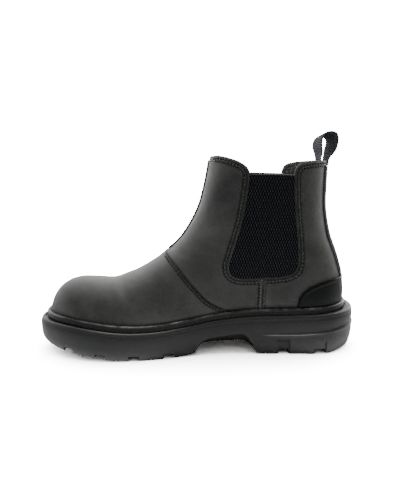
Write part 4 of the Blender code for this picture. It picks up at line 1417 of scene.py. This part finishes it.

# Floor: a plain white sweep that curves up all round, far from the boot. It isn't part of it. It glows as a
# light: a ring round the boot and its far walls behind and at the sides give off light onto the boot.

FLOOR_FLAT = 900.0
FLOOR_CURVE = 500.0
FLOOR_TOP = 1600.0
GLOW_HALF = {"X": 0.155, "Y": 0.055}
bend = np.linspace(0.1, np.pi / 2, 10)
radius = np.concatenate([np.linspace(0, FLOOR_FLAT, 16), FLOOR_FLAT + FLOOR_CURVE * np.sin(bend)])[:, None]
rise = np.concatenate([np.zeros(16), FLOOR_CURVE * (1 - np.cos(bend))])[:, None]
rise[-1] = FLOOR_TOP
angle = np.linspace(0, 2 * np.pi, 64, endpoint=False)
sweep = np.stack(np.broadcast_arrays(radius * np.cos(angle), radius * np.sin(angle), rise), -1)
white, shader = new_material(
    "white_floor", Base_Color=(0.35, 0.35, 0.345, 1.0), Emission_Color=(1.0, 1.0, 1.0, 1.0),
    Roughness=0.9, Specular_IOR_Level=0.1,
)
axes = axes_of(place(shader))
off_middle = node(shader, "ShaderNodeVectorMath", {0: place(shader)}, operation="LENGTH").outputs["Value"]
far = spread(off_middle, 0.4, 0.9)
# The far walls glow most behind the boot and less at its sides, lighting it from there
off_front = calc("MULTIPLY_ADD", calc("ABSOLUTE", axes["X"]), 0.1, axes["Y"])
behind = calc("MULTIPLY", far, spread(off_front, 0.05, 0.65, 0.0, 2.3))
# A ring of floor round the boot throws light up at it
squares = [calc("POWER", calc("DIVIDE", axes[axis], half), 2.0) for axis, half in GLOW_HALF.items()]
beside = calc("SQRT", calc("ADD", *squares))
near = calc("MULTIPLY", spread(beside, 1.0, 1.12), spread(beside, 1.2, 2.2, 1.5, 0.02))
fill(shader, {"Emission Strength": calc("MAXIMUM", near, behind)})
# The camera sees a bright floor with a painted shadow under the boot, darkened by ambient occlusion, and a
# white room behind it
occlusion_shadow = node(shader, "ShaderNodeAmbientOcclusion", {"Distance": 0.055}, samples=8).outputs["AO"]
floor_with_painted_shadow = blend_colour(calc("POWER", occlusion_shadow, 1.15), (0.5, 0.5, 0.49), (26.0, 26.0, 25.7))
bright = node(shader, "ShaderNodeBsdfDiffuse", {"Color": floor_with_painted_shadow})
glow = node(shader, "ShaderNodeEmission", {"Color": (1.0, 1.0, 0.99, 1.0), "Strength": 18.0})
shown = node(shader, "ShaderNodeMixShader", {0: far, 1: bright.outputs[0], 2: glow.outputs[0]})
seen = node(shader, "ShaderNodeLightPath").outputs["Is Camera Ray"]
mix = node(shader, "ShaderNodeMixShader", {0: seen, 1: shader.outputs[0], 2: shown.outputs[0]})
fill(white.node_tree.nodes["Material Output"], {"Surface": mix.outputs[0]})
mesh = bpy.data.meshes.new("floor")
mesh.from_pydata((sweep.reshape(-1, 3) * MM).tolist(), [], loop_faces(len(radius), len(angle)).tolist())
mesh.shade_smooth()
mesh.materials.append(white)
floor = bpy.data.objects.new("floor", mesh)
bpy.context.scene.collection.objects.link(floor)

# Studio light: a wide soft box overhead, weaker ones at both ends, low behind the heel and in
# front, and faint white air all round.


def soft_box(name, place_at, turn, size, power):
    """A square area light at a place, turned in degrees."""
    lamp = bpy.data.lights.new(name, "AREA")
    lamp.size = size
    lamp.energy = power
    made = bpy.data.objects.new(name, lamp)
    made.location = place_at
    made.rotation_euler = np.radians(turn)
    bpy.context.scene.collection.objects.link(made)


soft_box("overhead", (-0.1, 0.25, 1.3), (-8.0, 0.0, 0.0), 1.4, 11.2)
soft_box("toe_side", (-1.2, -0.2, 0.8), (0.0, -58.0, 10.0), 0.8, 0.5)
soft_box("heel_side", (1.1, 0.55, 0.5), (0.0, 70.0, 25.0), 0.9, 4.2)
soft_box("heel_rim", (0.62, 0.5, 0.1), (0.0, 84.0, 46.8), 0.2, 0.8)
soft_box("front_fill", (-0.3, -1.2, 0.9), (55.0, 0.0, -14.0), 0.8, 0.08)
world = bpy.data.worlds.new("pale_air")
world.use_nodes = True
world.node_tree.nodes["Background"].inputs["Color"].default_value = (1.0, 1.0, 1.0, 1.0)
world.node_tree.nodes["Background"].inputs["Strength"].default_value = 0.02
bpy.context.scene.world = world

# Camera: where the photograph was taken from, about as high as the collar and looking a little down.

lens = bpy.data.cameras.new("camera")
lens.lens = 33.84
lens.sensor_width = 36.0
camera = bpy.data.objects.new("camera", lens)
camera.location = (0.0016, -0.4536, 0.1766)
camera.rotation_euler = (np.radians(79.5), 0.0, 0.0)
bpy.context.scene.collection.objects.link(camera)
bpy.context.scene.camera = camera
